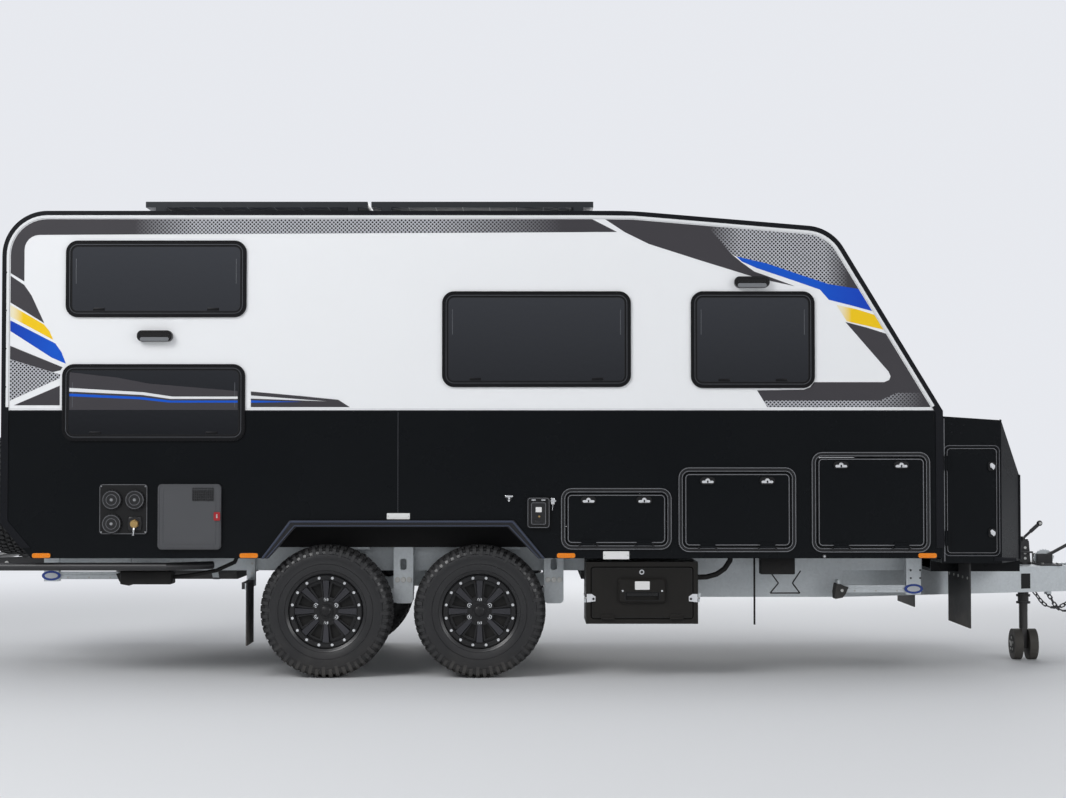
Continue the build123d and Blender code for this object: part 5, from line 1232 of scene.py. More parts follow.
for one, two in zip(teeth, teeth[1:]):
    outline += [pivot.lerp((one + two) / 2, notch_share), two]
bm = bmesh.new()
add_plate(bm, outline + [(3.085, 0.636), (3.195, 0.636)], -0.046, -0.040)
for x in (3.090, 3.190):
    for y in (-0.200, 0.200):
        add_rod(bm, (x, y, 0.635), (x, y, 0.643), 0.011, 6, tint=1)
keep("handbrake_quadrant", bm, [galvanised, bolt_steel], slot="galvanised")

# Jack: a black tube clamped through the drawbar, wound by a folding crank with a round knob. Its two
# solid-tyred jockey wheels stand across the drawbar.
dress(black_steel, "black_steel", "jack_tube", "jack_leg")
dress(sleeve_rubber, "black_plastic", "jockey_wheels")
jack_x, clamp_y = 3.013, -0.044
crank_foot, crank_knob = Vector((jack_x, 0, 0.793)), Vector((3.125, 0, 0.894))
bm = bmesh.new()
# Collars and the crank's nut: foot, head, radius, sides, tint
for z0, z1, radius, count, tint in ((0.366, 0.380, 0.046, 40, 0), (0.412, 0.426, 0.046, 40, 0),
                                    (0.626, 0.640, 0.052, 40, 0), (0.800, 0.808, 0.013, 6, 1)):
    add_rod(bm, (jack_x, 0, z0), (jack_x, 0, z1), radius, count, tint=tint)
add_block(bm, (jack_x - 0.050, -0.075, 0.700), (jack_x + 0.050, -0.045, 0.712), 0.003)
clamp = [(jack_x - 0.030, 0.636), (jack_x + 0.040, 0.636), (jack_x + 0.030, 0.780), (jack_x - 0.020, 0.780)]
add_plate(bm, clamp, clamp_y, clamp_y + 0.008)
for z in (0.665, 0.700, 0.735):
    add_peg(bm, jack_x + 0.004, z, clamp_y, clamp_y - 0.005, 0.009, 20, tint=1)
add_rod(bm, crank_foot.lerp(crank_knob, 0.45), crank_foot.lerp(crank_knob, 0.90), 0.0125, 24)
add_peg(bm, crank_knob.x, crank_knob.z, -0.0175, -0.0205, 0.009, 20, tint=1)
keep("jack_fittings", bm, [black_steel, bolt_steel], slot="black_steel")
jockey_z = 0.1
jockey_bolt_circle = 0.041
bm = bmesh.new()
for way in (-1, 1):
    x0 = jack_x + way * 0.0765
    # Hub, nut and the bolts round it: place along the axle from and to, radius, sides, tint
    for near, far, radius, count, tint in ((0.0, 0.002, 0.062, 40, 0), (0.002, 0.008, 0.018, 6, 1)):
        add_rod(bm, (x0 + way * near, 0, jockey_z), (x0 + way * far, 0, jockey_z), radius, count, tint=tint)
    for y, z in circle(0, jockey_z, jockey_bolt_circle, 5):
        add_rod(bm, (x0, y, z), (x0 + way * 0.005, y, z), 0.008, 14, tint=1)
keep("jockey_wheel_hubs", bm, [liner_plastic_and_shade, bolt_steel], "jockey_wheels", "black_plastic")

# Corner legs: pressed galvanised arms that lie flat for the road, with ribbed feet and winding screws.
# End, pivot's X and Z, way in which the leg lies
leg_rows = (("rear", -3.178, 0.603, 1), ("front", 2.110, 0.522, -1))
leg_y, leg_half, leg_reach = 0.905, 0.0225, 0.470
bracket_y = 0.934
foot_outline = [(-0.066, 0.012), (-0.048, -0.030), (-0.030, -0.052), (0.014, -0.060), (0.016, -0.020),
                (0.006, 0.034), (-0.020, 0.030), (-0.040, 0.020)]
for end, x, z, way in leg_rows:
    for side, hand in both_sides:
        body = f"corner_leg_{end}_{side}"
        dress(galvanised, "galvanised", body)
        y = hand * leg_y
        foot = x + way * leg_reach
        bm = bmesh.new()
        for k in (-1, 1):
            add_block(bm, (x + way * 0.06, y + k * 0.020, z - 0.004),
                      (x + way * 0.44, y + k * leg_half, z + 0.004), 0.001)
        for k in range(3):
            add_peg(bm, x + way * (0.10 + 0.13 * k), z - 0.012, y - leg_half, y + leg_half, 0.006, 14, tint=1)
        for rib_y in (y - 0.035, y, y + 0.035):
            add_block(bm, (foot, rib_y - 0.004, z - 0.048), (foot + way * 0.004, rib_y + 0.004, z + 0.048),
                      0.001)
        keep(f"{body}_ribs", bm, [galvanised, bolt_steel], body, "galvanised")
        bm = bmesh.new()
        add_plate(bm, [(foot + way * u, z + w) for u, w in foot_outline], y - 0.061, y + 0.061)
        add_peg(bm, foot - way * 0.026, z - 0.008, y - 0.0625, y + 0.0625, 0.009, 18, tint=1)
        keep(f"{body}_foot_pad", bm, [sleeve_rubber, bolt_steel], body, "galvanised")
bm = bmesh.new()
for hand in (RIGHT, LEFT):
    for x, z in ((2.092, 0.636), (2.150, 0.636), (2.092, 0.588), (2.150, 0.588)):
        add_peg(bm, x, z, hand * bracket_y, hand * (bracket_y + 0.0045), 0.0065, 6)
keep("leg_bracket_bolts", bm, [black_steel], slot="galvanised")

# Entry step: an anodised tread with a grooved top that slides out on two runners under the door.
alloy = finish("anodised_aluminium", (0.60, 0.61, 0.63), 0.32, metallic=0.9, shift=0.05, dust=0.05,
               relief=0.05)
dress(alloy, "silver_alloy", "entry_step")
tread = bmesh.new()
add_block(tread, (0, 0.952, 0.695), (0.448, 0.958, 0.6985), 0.001)
place_row("entry_step_treads", tread, 15, (0.036, 0.008, 0), (0, 0.0165, 0), lock_black, "silver_alloy",
          "entry_step")

# Rear bar and spare wheel: a bent black tube on two arms, and a post that carries the spare on plated studs.
dress(black_steel, "black_steel", "rear_bumper")
bm = bmesh.new()
for hand in (RIGHT, LEFT):
    add_block(bm, (-3.700, hand * 0.700, 0.702), (-3.640, hand * 0.750, 0.706), 0.001)
    for x in (-3.560, -3.500):
        add_peg(bm, x, 0.671, hand * 0.750, hand * 0.758, 0.014, 6, tint=1)
for z in (0.80, 0.90):
    for y in (-0.025, 0.025):
        add_rod(bm, (-3.460, y, z), (-3.467, y, z), 0.010, 6, tint=1)
keep("rear_bar_fixings", bm, [black_steel, bolt_steel], slot="black_steel")

# Mud flaps: rubber sheets on galvanised brackets behind the wheels, and stone flaps under the boot, one
# outside each drawbar rail.
flap_rubber = finish("flap_rubber", (0.020, 0.020, 0.021), 0.68, dust=0.35, dust_top=0.7, fine=240,
                     relief=0.3)
dress(flap_rubber, "flap_rubber", "mud_flaps")
bm = bmesh.new()
for hand in (RIGHT, LEFT):
    # Clamp strips and bracket cheeks: first and last X, inner and outer Y, foot, head, bevel
    for x0, x1, y0, y1, z0, z1, bevel in (
        (-1.9575, -1.950, 0.890, 1.160, 0.530, 0.570, 0.001),
        (2.408, 2.412, 0.575, 1.160, 0.585, 0.615, 0.001),
        (-2.0000, -1.9475, 0.7475, 0.7975, 0.5735, 0.7135, 0.002),
        (-1.9900, -1.9475, 0.7475, 0.8850, 0.5310, 0.5745, 0.002),
    ):
        add_block(bm, (x0, hand * y0, z0), (x1, hand * y1, z1), bevel)
    # Bolts through the strips: X of foot and head, height, first Y, step, count
    for x0, x1, z, first, step, count in ((-1.9575, -1.962, 0.550, 0.915, 0.070, 4),
                                          (2.412, 2.417, 0.600, 0.610, 0.128, 5),
                                          (2.400, 2.396, 0.600, 0.610, 0.128, 5)):
        for k in range(count):
            y = hand * (first + step * k)
            add_rod(bm, (x0, y, z), (x1, y, z), 0.009, 6, tint=1)
    for z in (0.610, 0.670):
        add_peg(bm, -1.965, z, hand * 0.7975, hand * 0.8030, 0.008, 6, tint=1)
keep("flap_clamps", bm, [galvanised, bolt_steel], slot="galvanised")

# Road lamps: amber side markers with a black base and ribbed lens, and rear lamps with red, amber and clear
# parts behind one moulded cover.
lens_look = {"scale": 40, "relief": 0.25, "fine": 160, "depth": 0.001}
amber_lens = finish("amber_lens", (0.93, 0.27, 0.002), 0.20, coat=0.2, shift=0.15, **lens_look)
red_lens = finish("red_lens", (0.50, 0.008, 0.006), 0.12, coat=0.6, shift=0.15, **lens_look)
clear_lens = finish("clear_lens", (0.72, 0.73, 0.74), 0.12, coat=0.6, shift=0.1, **lens_look)
marker_xs = (-3.167, -1.925, -0.026, 2.137)
marker_z = 0.740
rib_pitch = 0.011
rear_lamp_y, rear_lamp_z = 0.960, 1.020
# Lens zones of a rear lamp: first Y, last Y, tint
lamp_zones = ((-0.150, -0.052, 2), (-0.049, 0.049, 0), (0.052, 0.102, 3), (0.105, 0.150, 2))
for side, hand in both_sides:
    bm = bmesh.new()
    for x in marker_xs:
        base = rounded_at(x, marker_z, 0.0585, 0.017, 0.012)
        lens = rounded_at(x, marker_z, 0.0545, 0.014, 0.011)
        add_plate(bm, base, hand * wall_y, off_wall(hand, 0.007), tint=1)
        add_plate(bm, lens, off_wall(hand, 0.007), off_wall(hand, 0.0135))
        for k in range(-4, 5):
            rib = x + k * rib_pitch
            add_block(bm, (rib - 0.0018, off_wall(hand, 0.013), marker_z - 0.012),
                      (rib + 0.0018, off_wall(hand, 0.016), marker_z + 0.012), 0.0006)
    y = hand * rear_lamp_y
    add_ring(bm, rounded_at(y, rear_lamp_z, 0.165, 0.060, 0.022),
             rounded_at(y, rear_lamp_z, 0.152, 0.047, 0.012),
             rear_wall_x, rear_wall_x - 0.026, axis="X", tint=1)
    for y0, y1, tint in lamp_zones:
        add_block(bm, (rear_wall_x - 0.030, y + hand * y0, rear_lamp_z - 0.045),
                  (rear_wall_x, y + hand * y1, rear_lamp_z + 0.045), 0.003, tint=tint)
    piece = keep(f"road_lamps_{side}", bm, [amber_lens, lock_black, red_lens, clear_lens], slot="lamp_lens")
    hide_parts("road_lamps")

# Service fittings on the right-hand wall: two oblong outside lamps, a black filler panel with three round
# caps and a brass tap, a power inlet with a hinged cover, and a grey heater cover with a slotted vent.
fitting_plastic = finish("fitting_plastic", (0.0075, 0.0075, 0.008), 0.38, dust=0.03, fine=650, relief=0.2,
                         gloss=0.3)
cap_plastic = finish("cap_plastic", (0.011, 0.011, 0.012), 0.30, fine=500, relief=0.15, gloss=0.5)
brass = finish("brass_tap", (0.62, 0.42, 0.17), 0.28, metallic=1.0, shift=0.2, scale=30, relief=0.08)
lamp_diffuser = finish("lamp_diffuser", (0.17, 0.18, 0.19), 0.35, coat=0.3, fine=300, relief=0.1)
heater_grey = finish("heater_grey", (0.080, 0.082, 0.088), 0.48, metallic=0.3, dust=0.10, dust_top=1.1,
                     fine=500, relief=0.2)
vent_grey = finish("vent_grille", (0.040, 0.041, 0.044), 0.5, metallic=0.2, fine=500, relief=0.15)
red_plastic = finish("red_plastic", (0.36, 0.010, 0.016), 0.38, relief=0.08)
dress(fitting_plastic, "black_plastic", "wall_fittings")
dress(heater_grey, "grey_plastic", "heater_cover")
plate_y = off_wall(RIGHT, 0.008)
cap_y = plate_y - 0.016
cap_radius = 0.058
grip_count = 20


def add_cap(bm, x, z):
    """A round filler cap with a plated centre, two fine rings and a ribbed edge."""
    add_pegs(bm, x, z, ((cap_y, cap_y - 0.006, cap_radius, 48, cap_radius * 0.93, 1),
                        (cap_y - 0.006, cap_y - 0.012, cap_radius * 0.62, 40, cap_radius * 0.5, 1),
                        (cap_y - 0.012, cap_y - 0.0155, 0.0105, 24, 0.008, 3)))
    # Two fine pale rings on each cap: painted highlights.
    for share, foot in ((0.91, 0.0055), (0.56, 0.0105)):
        r = cap_radius * share
        add_edge_rim(bm, (x - r, x + r, z - r, z + r), 0.0, 0.0022, r, cap_y - foot, -0.0015, tint=4,
                     steps=10)
    for edge_x, edge_z in circle(x, z, cap_radius * 0.985, grip_count):
        add_peg(bm, edge_x, edge_z, cap_y + 0.012, cap_y - 0.003, 0.004, 8, tint=1)


bm = bmesh.new()
# A fine pale line round the filler panel's edge: painted highlight.
add_edge_rim(bm, (-2.820, -2.536, 0.869, 1.165), 0.0, 0.0025, 0.019, plate_y, -0.0012, tint=4)
for x in (-2.810, -2.546):
    for z in (0.880, 1.154):
        add_peg(bm, x, z, plate_y, plate_y - 0.002, 0.0045, 14, tint=3)
tap_x, tap_z = -2.607, 0.930
tap_y = plate_y - 0.037
for x, z in ((-2.745, 1.073), (tap_x, 1.073), (-2.745, tap_z)):
    add_cap(bm, x, z)
add_pegs(bm, tap_x, tap_z, ((plate_y, plate_y - 0.012, 0.042, 40, None, 1),
                            (plate_y - 0.010, tap_y + 0.016, 0.0270, 6, None, 2),
                            (tap_y + 0.016, tap_y - 0.001, 0.0224, 36, 0.0215, 2)))
for thread_y in (tap_y + 0.012, tap_y + 0.008, tap_y + 0.004):
    add_peg(bm, tap_x, tap_z, thread_y, thread_y - 0.0016, 0.0238, 36, tint=2)
add_block(bm, (-2.648, plate_y, 0.888), (-2.566, plate_y - 0.010, 0.972), 0.008, tint=1)
spout = [(tap_x, tap_y + 0.012, 0.912), (-2.610, tap_y + 0.006, 0.892), (-2.612, tap_y + 0.006, 0.868),
         (-2.612, tap_y + 0.006, 0.860)]
for start, end, radius in zip(spout, spout[1:], (0.0062, 0.0062, 0.0080)):
    add_rod(bm, start, end, radius, 20, tint=3)
keep("water_filler_caps", bm, [fitting_plastic, cap_plastic, brass, chrome, rim_highlight], slot="black_plastic")

# The power inlet, its hinged lid inside a raised frame. Beside it a small keyed fitting, a catch that
# holds the hatch open, and a round fitting ahead of the hatches.
bm = bmesh.new()
x0, x1, z0, z1 = -0.260, -0.122, 0.903, 1.089
lid = (x0 + 0.022, x1 - 0.022, z0 + 0.020, z1 - 0.028)
inlet_y = off_wall(RIGHT, 0.026)
lid_face = inlet_y - 0.006
add_edge_rim(bm, (x0, x1, z0, z1), 0.002, 0.008, 0.018, inlet_y, -0.004)
# Fine pale lines inside the frame and round the lid: painted highlights.
add_edge_rim(bm, (x0, x1, z0, z1), 0.0045, 0.0025, 0.016, inlet_y - 0.004, -0.001, tint=3)
add_plate(bm, rounded(*lid, 0.012), inlet_y, lid_face, tint=1)
add_edge_rim(bm, lid, 0.004, 0.0022, 0.010, lid_face, -0.001, tint=3)
add_block(bm, (x0 + 0.045, lid_face, z0 + 0.030), (x1 - 0.045, inlet_y - 0.014, z0 + 0.048), 0.003, tint=1)
add_plate(bm, rounded(x0 + 0.052, x0 + 0.088, 1.000, 1.030, 0.003), lid_face, inlet_y - 0.0068, tint=4)
add_peg(bm, -0.187, 0.974, lid_face, inlet_y - 0.0085, 0.006, 18, tint=5)
for x in (x0 + 0.040, x1 - 0.040):
    add_rod(bm, (x - 0.012, inlet_y - 0.004, z1 - 0.017), (x + 0.012, inlet_y - 0.004, z1 - 0.017), 0.005, 14,
            tint=2)
face_y = -wall_y
# X, Z, near, far, radius, sides, end radius, tint
for x, z, near, far, radius, count, end_radius, tint in (
    (-0.368, 1.085, 0.0, 0.006, 0.020, 28, 0.018, 1), (1.521, 0.735, 0.0, 0.006, 0.0135, 28, 0.0125, 1),
    (1.521, 0.735, 0.006, 0.012, 0.0095, 24, 0.007, 2),
):
    add_peg(bm, x, z, face_y - near, face_y - far, radius, count, end_radius, tint)
# First X, last X, foot, head, near, far, bevel
for x0, x1, z0, z1, near, far, bevel in (
    (-0.391, -0.345, 1.088, 1.100, 0.006, 0.014, 0.003), (-0.374, -0.362, 1.062, 1.088, 0.006, 0.012, 0.002),
    (-0.116, -0.094, 1.046, 1.084, 0.0, 0.016, 0.002),
):
    add_block(bm, (x0, face_y - near, z0), (x1, face_y - far, z1), bevel, tint=2)
add_rod(bm, (-0.118, face_y - 0.012, 1.066), (-0.086, face_y - 0.012, 1.066), 0.006, 14, tint=2)
add_rod(bm, (-0.105, face_y - 0.010, 1.046), (-0.109, face_y - 0.010, 1.010), 0.0035, 12, tint=2)
keep("power_inlet_cover", bm, [fitting_plastic, cap_plastic, chrome, rim_highlight, label_white, brass],
     slot="black_plastic")

lamp_y, lamp_half_x, lamp_half_z = off_wall(RIGHT, 0.042), 0.104, 0.032
for name, (x, z) in (("rear", (-2.492, 2.055)), ("front", (1.090, 2.379))):
    bm = bmesh.new()
    add_edge_rim(bm, (x - lamp_half_x, x + lamp_half_x, z - lamp_half_z, z + lamp_half_z), 0.0, 0.008, 0.029,
                 lamp_y, -0.002)
    add_plate(bm, rounded(x - 0.084, x + 0.084, z - 0.002, z + 0.016, 0.008), lamp_y, lamp_y - 0.003)
    add_plate(bm, rounded(x - 0.086, x + 0.086, z - 0.0315, z - 0.008, 0.010), lamp_y + 0.002,
              lamp_y - 0.0022, tint=2)
    keep(f"outside_lamp_{name}", bm, [lock_black, fitting_plastic, lamp_diffuser], slot="black_plastic")

bm = bmesh.new()
heater_span = (-2.468, -2.090, 0.777, 1.167)
heater_y = off_wall(RIGHT, 0.030)
add_edge_rim(bm, heater_span, 0.006, 0.004, 0.020, heater_y, -0.0025)
add_edge_rim(bm, heater_span, 0.030, 0.003, 0.014, heater_y, -0.0018)
# The vent's back, the key flap and its mark: first X, last X, foot, head, corner, near, far, tint
for x0, x1, z0, z1, corner, near, far, tint in (
    (-2.262, -2.132, 1.066, 1.146, 0.006, 0.0, 0.0015, 1),
    (-2.132, -2.094, 0.950, 1.000, 0.006, 0.0, 0.008, 2),
    (-2.117, -2.109, 0.964, 0.988, 0.003, 0.008, 0.009, 3),
):
    add_plate(bm, rounded(x0, x1, z0, z1, corner), heater_y - near, heater_y - far, tint=tint)
keep("heater_cover_edges", bm, [heater_grey, lock_black, red_plastic, bolt_steel], slot="grey_plastic")
slat_near, slat_far = heater_y - 0.0015, heater_y - 0.0030
# Name, first X, last X, foot, head, count, start, step
for name, x0, x1, z0, z1, count, start, step in (
    ("slats", -2.262, -2.132, -0.0013, 0.0013, 8, (0, 0, 1.0715), (0, 0, 0.0098)),
    ("bars", -0.0011, 0.0011, 1.066, 1.146, 11, (-2.259, 0, 0), (0.0124, 0, 0)),
):
    slat = bmesh.new()
    add_block(slat, (x0, slat_near, z0), (x1, slat_far, z1))
    place_row(f"heater_vent_{name}", slat, count, start, step, vent_grey, "grey_plastic")

# Blank plates: two white ones on the service side and a small black one on the drawbar, all bare.
plate_white = finish("plate_white", (0.80, 0.80, 0.79), 0.35, shift=0.03, relief=0.04)
bm = bmesh.new()
for x0, x1, z0, z1 in ((-1.100, -0.962, 0.957, 0.993), (0.196, 0.352, 0.718, 0.765)):
    add_plate(bm, rounded(x0, x1, z0, z1, 0.004), -wall_y, off_wall(RIGHT, 0.0040))
    for x in (x0 + 0.008, x1 - 0.008):
        add_peg(bm, x, (z0 + z1) / 2, off_wall(RIGHT, 0.0040), off_wall(RIGHT, 0.0052), 0.003, 12, tint=1)
keep("blank_plates", bm, [plate_white, bolt_steel], slot="white_plastic")

# Awning: an anodised cassette on the left-hand wall with moulded end caps, a lead rail and a lift strap eye.
dress(alloy, "silver_alloy", "awning_cassette")
cap_grey = finish("awning_end_caps", (0.16, 0.165, 0.17), 0.4, fine=500, relief=0.15)
bm = bmesh.new()
awning_x0, awning_x1, awning_y, awning_z = -2.850, 1.300, 1.275, 2.630
end_cap_length, end_cap_half, end_cap_radius = 0.030, 0.048, 0.0552
lead_rail_inset = 0.032
for x, way in ((awning_x0, -1), (awning_x1, 1)):
    cap_x0, cap_x1 = x - way * end_cap_length, x - way * 0.0005
    add_rod(bm, (cap_x0, awning_y, awning_z), (cap_x1, awning_y, awning_z), end_cap_radius, 48)
    add_block(bm, (cap_x0, wall_y, awning_z - end_cap_half), (cap_x1, awning_y, awning_z + end_cap_half),
              0.004)
add_block(bm, (awning_x0 + lead_rail_inset, awning_y - 0.010, awning_z - 0.063),
          (awning_x1 - lead_rail_inset, awning_y + 0.012, awning_z - 0.054), 0.003, tint=1)
add_rod(bm, (-0.82, awning_y, awning_z - 0.060), (-0.72, awning_y, awning_z - 0.060), 0.007, 16)
keep("awning_end_caps", bm, [cap_grey, alloy], slot="silver_alloy")

# Roof: two framed solar panels on feet, and two white domed hatches. The cells are dark squares with fine
# silver lines under glass.
cell_pitch, wires_in_cell = 0.164, 3
gap_share, wire_share, wire_strength = 0.035, 0.03, 0.5
line_grey = (0.45, 0.47, 0.50, 1)
panel_length, panel_y0, panel_y1 = 1.350, -1.080, -0.060
panel_foot, panel_top, roof_z = 2.850, 2.885, 2.805
frame_width, frame_proud = 0.030, 0.0015


def solar_finish():
    """Dark cells in rows under glass, with pale gaps and fine current lines."""
    made = finish("solar_cells", (0.010, 0.014, 0.034), 0.34, coat=0.1, shift=0.25, scale=9, relief=0.02,
                  gloss=0.3)
    tree = made.node_tree
    base = tree.nodes["Principled BSDF"].inputs["Base Color"]

    def stripes(axis, pitch, share):
        cell = maths(tree, "FRACT", maths(tree, "DIVIDE", part_of(tree, spot_on(tree), axis), pitch))
        return maths(tree, "LESS_THAN", cell, share)

    gaps = maths(tree, "MAXIMUM", stripes("X", cell_pitch, gap_share), stripes("Y", cell_pitch, gap_share))
    wires = maths(tree, "MULTIPLY", stripes("Y", cell_pitch / wires_in_cell, wire_share), wire_strength)
    mask = maths(tree, "MAXIMUM", gaps, wires)
    feed(tree, [base], {0: mix_colours(tree, mask, base.links[0].from_socket, line_grey)})
    return made


hatch_white = finish("roof_hatch_white", (0.78, 0.79, 0.80), 0.30, coat=0.2, shift=0.03, relief=0.05)
panel_frame = finish("panel_frame", (0.030, 0.033, 0.037), 0.32, metallic=0.4, relief=0.05)
dress(solar_finish(), "solar_cells", "solar_panels")
dress(hatch_white, "white_plastic", "roof_hatches")
bm = bmesh.new()
for x0 in (-2.582, -1.208):
    x1 = x0 + panel_length
    inner_x0, inner_x1 = x0 + frame_width, x1 - frame_width
    inner_y0, inner_y1 = panel_y0 + frame_width, panel_y1 - frame_width
    outer = [(x0, panel_y0), (x1, panel_y0), (x1, panel_y1), (x0, panel_y1)]
    inner = [(inner_x0, inner_y0), (inner_x1, inner_y0), (inner_x1, inner_y1), (inner_x0, inner_y1)]
    add_ring(bm, outer, inner, panel_top - 0.004, panel_top - 0.0002, axis="Z")
    for y, way in ((panel_y0, -1), (panel_y1, 1)):
        add_block(bm, (x0, y, panel_foot), (x1, y + way * frame_proud, panel_top - 0.001))
        for foot_x in (x0 + 0.060, x1 - 0.120):
            add_block(bm, (foot_x, y, roof_z), (foot_x + 0.060, y + way * frame_proud, panel_foot))
            add_block(bm, (foot_x - 0.010, y - 0.030, roof_z + 0.0001),
                      (foot_x + 0.070, y + 0.030, roof_z + 0.0035), 0.001)
    for x, way in ((x0, -1), (x1, 1)):
        add_block(bm, (x, panel_y0, panel_foot), (x + way * frame_proud, panel_y1, panel_top - 0.001))
keep("solar_panel_frames", bm, [panel_frame], slot="black_steel")
bm = bmesh.new()
for x, y in ((-2.870, 0.420), (-0.140, 0.520)):
    for half, z0, z1 in ((0.228, roof_z + 0.0001, 2.813), (0.165, 2.864, 2.874), (0.120, 2.874, 2.879)):
        add_plate(bm, rounded_at(x, y, half, half, 0.03), z0, z1, axis="Z")
keep("roof_hatch_domes", bm, [hatch_white], slot="white_plastic")

# Water tanks: rotomoulded plastic between the rails, behind galvanised straps.
tank_plastic = finish("tank_plastic", (0.035, 0.035, 0.037), 0.55, dust=0.3, dust_top=1.0, fine=300,
                      relief=0.25)
dress(tank_plastic, "tank_plastic", "water_tanks")
tank_length, strap_half, strap_shares = 0.760, 0.02, (0.18, 0.82)
strap_turn = [(0.555, 0.557), (0.6035, 0.599), (0.6035, 0.76), (0.6005, 0.76), (0.6005, 0.601),
              (0.555, 0.5600)]
bm = bmesh.new()
for x0 in (-2.850, 0.080):
    for share in strap_shares:
        x = x0 + tank_length * share
        add_block(bm, (x - strap_half, -0.555, 0.5570), (x + strap_half, 0.555, 0.5598), 0.001)
        for hand in (RIGHT, LEFT):
            add_plate(bm, [(hand * y, z) for y, z in strap_turn], x - strap_half, x + strap_half, axis="X")
keep("tank_straps", bm, [galvanised], slot="galvanised")

# Labels and small things under the side: bare blue ovals on the leg brackets, a bare black plate on the
# drawbar, a hose behind the toolbox, a vent pipe, and two black boxes with a wire guard.
label_blue = finish("label_blue", (0.010, 0.045, 0.28), 0.25, coat=0.3, shift=0.05, relief=0.03)
label_silver = finish("label_silver", (0.55, 0.57, 0.60), 0.3, metallic=0.3, shift=0.05, relief=0.03)
oval_steps = 40
bm = bmesh.new()
for _, x, z, _ in leg_rows:
    for hand in (RIGHT, LEFT):
        for width, height, depth, tint in ((0.058, 0.030, 0.0015, 0), (0.040, 0.017, 0.0022, 1)):
            oval = [(x + width * u, z + height * w) for u, w in circle(0, 0, 1, oval_steps)]
            add_plate(bm, oval, hand * bracket_y, hand * (bracket_y + depth), tint=tint)
keep("bracket_labels", bm, [label_blue, label_silver], slot="galvanised")


def drawbar_face_y(x):
    """The outer face of the drawbar rail at a place along it."""
    return 0.750 - 0.663 * (x - 1.700) / 1.880


bm = bmesh.new()
x0, x1 = 2.921, 2.986
y0, y1 = -drawbar_face_y(x0), -drawbar_face_y(x1)
add_plate(bm, [(x0, y0), (x1, y1), (x1, y1 - 0.002), (x0, y0 - 0.002)], 0.483, 0.580, axis="Z")
keep("drawbar_plate", bm, [lock_black], slot="black_plastic")


def add_hose(bm, y, points, radius, sides):
    """A hose along points in X and Z, with round bends."""
    for (x0, z0), (x1, z1) in zip(points, points[1:]):
        add_rod(bm, (x0, y, z0), (x1, y, z1), radius, sides)
        bend = Matrix.Translation((x1, y, z1))
        bmesh.ops.create_uvsphere(bm, u_segments=sides, v_segments=sides // 2, radius=radius, matrix=bend)


bm = bmesh.new()
add_hose(bm, -1.05,
         [(0.770, 0.600), (0.830, 0.602), (0.890, 0.618), (0.940, 0.652), (0.972, 0.700), (0.985, 0.772)],
         0.016, 20)
add_hose(bm, -1.03, [(-2.411, 0.600), (-2.300, 0.612), (-2.150, 0.640), (-2.040, 0.690), (-2.000, 0.772)],
         0.012, 16)
add_rod(bm, (1.126, -1.000, 0.309), (1.126, -1.000, 0.772), 0.006, 16)
add_block(bm, (1.151, -1.120, 0.621), (1.359, -1.020, 0.773), 0.006)
add_peg(bm, 1.300, 0.665, -1.1205, -1.124, 0.022, 24)
guard = [(1.210, 0.640), (1.265, 0.565), (1.215, 0.505), (1.395, 0.505), (1.350, 0.565), (1.400, 0.640)]
add_bead(bm, guard, 0.004, -1.06)
add_block(bm, (-2.723, -1.100, 0.559), (-2.411, -0.960, 0.640), 0.008)
for x in (-2.680, -2.450):
    add_block(bm, (x - 0.012, -1.040, 0.640), (x + 0.012, -1.020, 0.773), 0.001, tint=1)
keep("side_hoses_and_boxes", bm, [liner_plastic_and_shade, galvanised], slot="black_plastic")

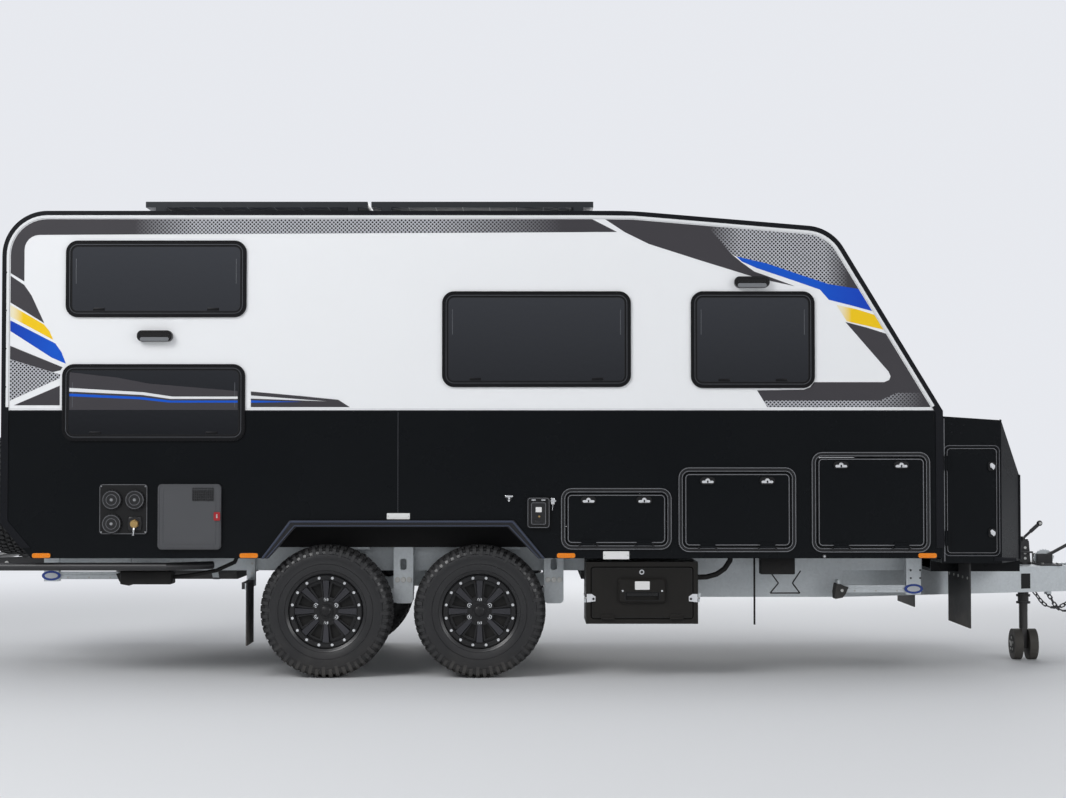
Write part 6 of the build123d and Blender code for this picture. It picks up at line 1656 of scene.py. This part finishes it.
# Floor and lights: a plain pale studio floor that fades into the backdrop, with large soft lamps above,
# before and behind. Reflections see a darker room than the camera does, brighter overhead.
backdrop = (0.93, 0.95, 1.0, 1)
backdrop_level = 0.86
fade_from, fade_to = 5.0, 11.0
floor_reach = 60
floor_paint = bpy.data.materials.new("studio_floor")
floor_paint.use_nodes = True
tree = floor_paint.node_tree
shader = tree.nodes["Principled BSDF"]
feed(tree, shader.inputs, {"Base Color": (0.78, 0.79, 0.80, 1), "Roughness": 0.75, "Specular IOR Level": 0.2})
reach = vector_maths(tree, "LENGTH", {0: spot_on(tree)})["Value"]
fade = ranged(tree, reach, fade_from, fade_to, interpolation_type="SMOOTHSTEP")
seen = add_node(tree, "ShaderNodeLightPath").outputs["Is Camera Ray"]
glow = add_node(tree, "ShaderNodeEmission", {"Color": backdrop, "Strength": backdrop_level}).outputs[0]
faded = add_node(tree, "ShaderNodeMixShader",
                 {0: maths(tree, "MULTIPLY", fade, seen), 1: shader.outputs[0], 2: glow})
feed(tree, tree.nodes["Material Output"].inputs, {"Surface": faded.outputs[0]})
bm = bmesh.new()
bmesh.ops.create_grid(bm, x_segments=1, y_segments=1, size=floor_reach)
mesh = bpy.data.meshes.new("studio_floor")
bm.to_mesh(mesh)
bm.free()
mesh.materials.append(floor_paint)
floor = bpy.data.objects.new("studio_floor", mesh)
scene.collection.objects.link(floor)

world = bpy.data.worlds.new("studio")
scene.world = world
world.use_nodes = True
sky = world.node_tree
rays = add_node(sky, "ShaderNodeLightPath").outputs
rise = part_of(sky, add_node(sky, "ShaderNodeTexCoord").outputs["Generated"], "Z")
room_low, room_high, room_rise, unseen_level = 0.12, 0.66, 0.15, 0.45
mirrored_room = ranged(sky, rise, 0.0, room_rise, room_low, room_high)
unseen = mix_numbers(sky, rays["Is Glossy Ray"], unseen_level, mirrored_room)
level = mix_numbers(sky, rays["Is Camera Ray"], unseen, backdrop_level)
feed(sky, sky.nodes["Background"].inputs, {"Color": backdrop, "Strength": level})


def lamp(name, place_xyz, target, size, power):
    """A large soft lamp turned to a point on the caravan."""
    data = bpy.data.lights.new(name, "AREA")
    data.shape = "RECTANGLE"
    data.size, data.size_y = size
    data.energy = power
    made = bpy.data.objects.new(name, data)
    made.location = place_xyz
    made.rotation_euler = (Vector(target) - Vector(place_xyz)).to_track_quat("-Z", "Y").to_euler()
    scene.collection.objects.link(made)


lamp("key", (-7.0, -9.0, 8.0), (0.0, -1.0, 1.2), (7.0, 5.0), 620)
lamp("fill", (8.0, -9.0, 4.5), (0.5, -1.0, 1.2), (6.0, 4.0), 210)
lamp("top", (0.0, 0.5, 9.0), (0.0, 0.0, 1.5), (9.0, 4.0), 110)
lamp("back", (2.0, 10.0, 4.2), (0.0, 1.0, 1.4), (8.0, 4.0), 300)

scene.view_settings.view_transform = "Standard"
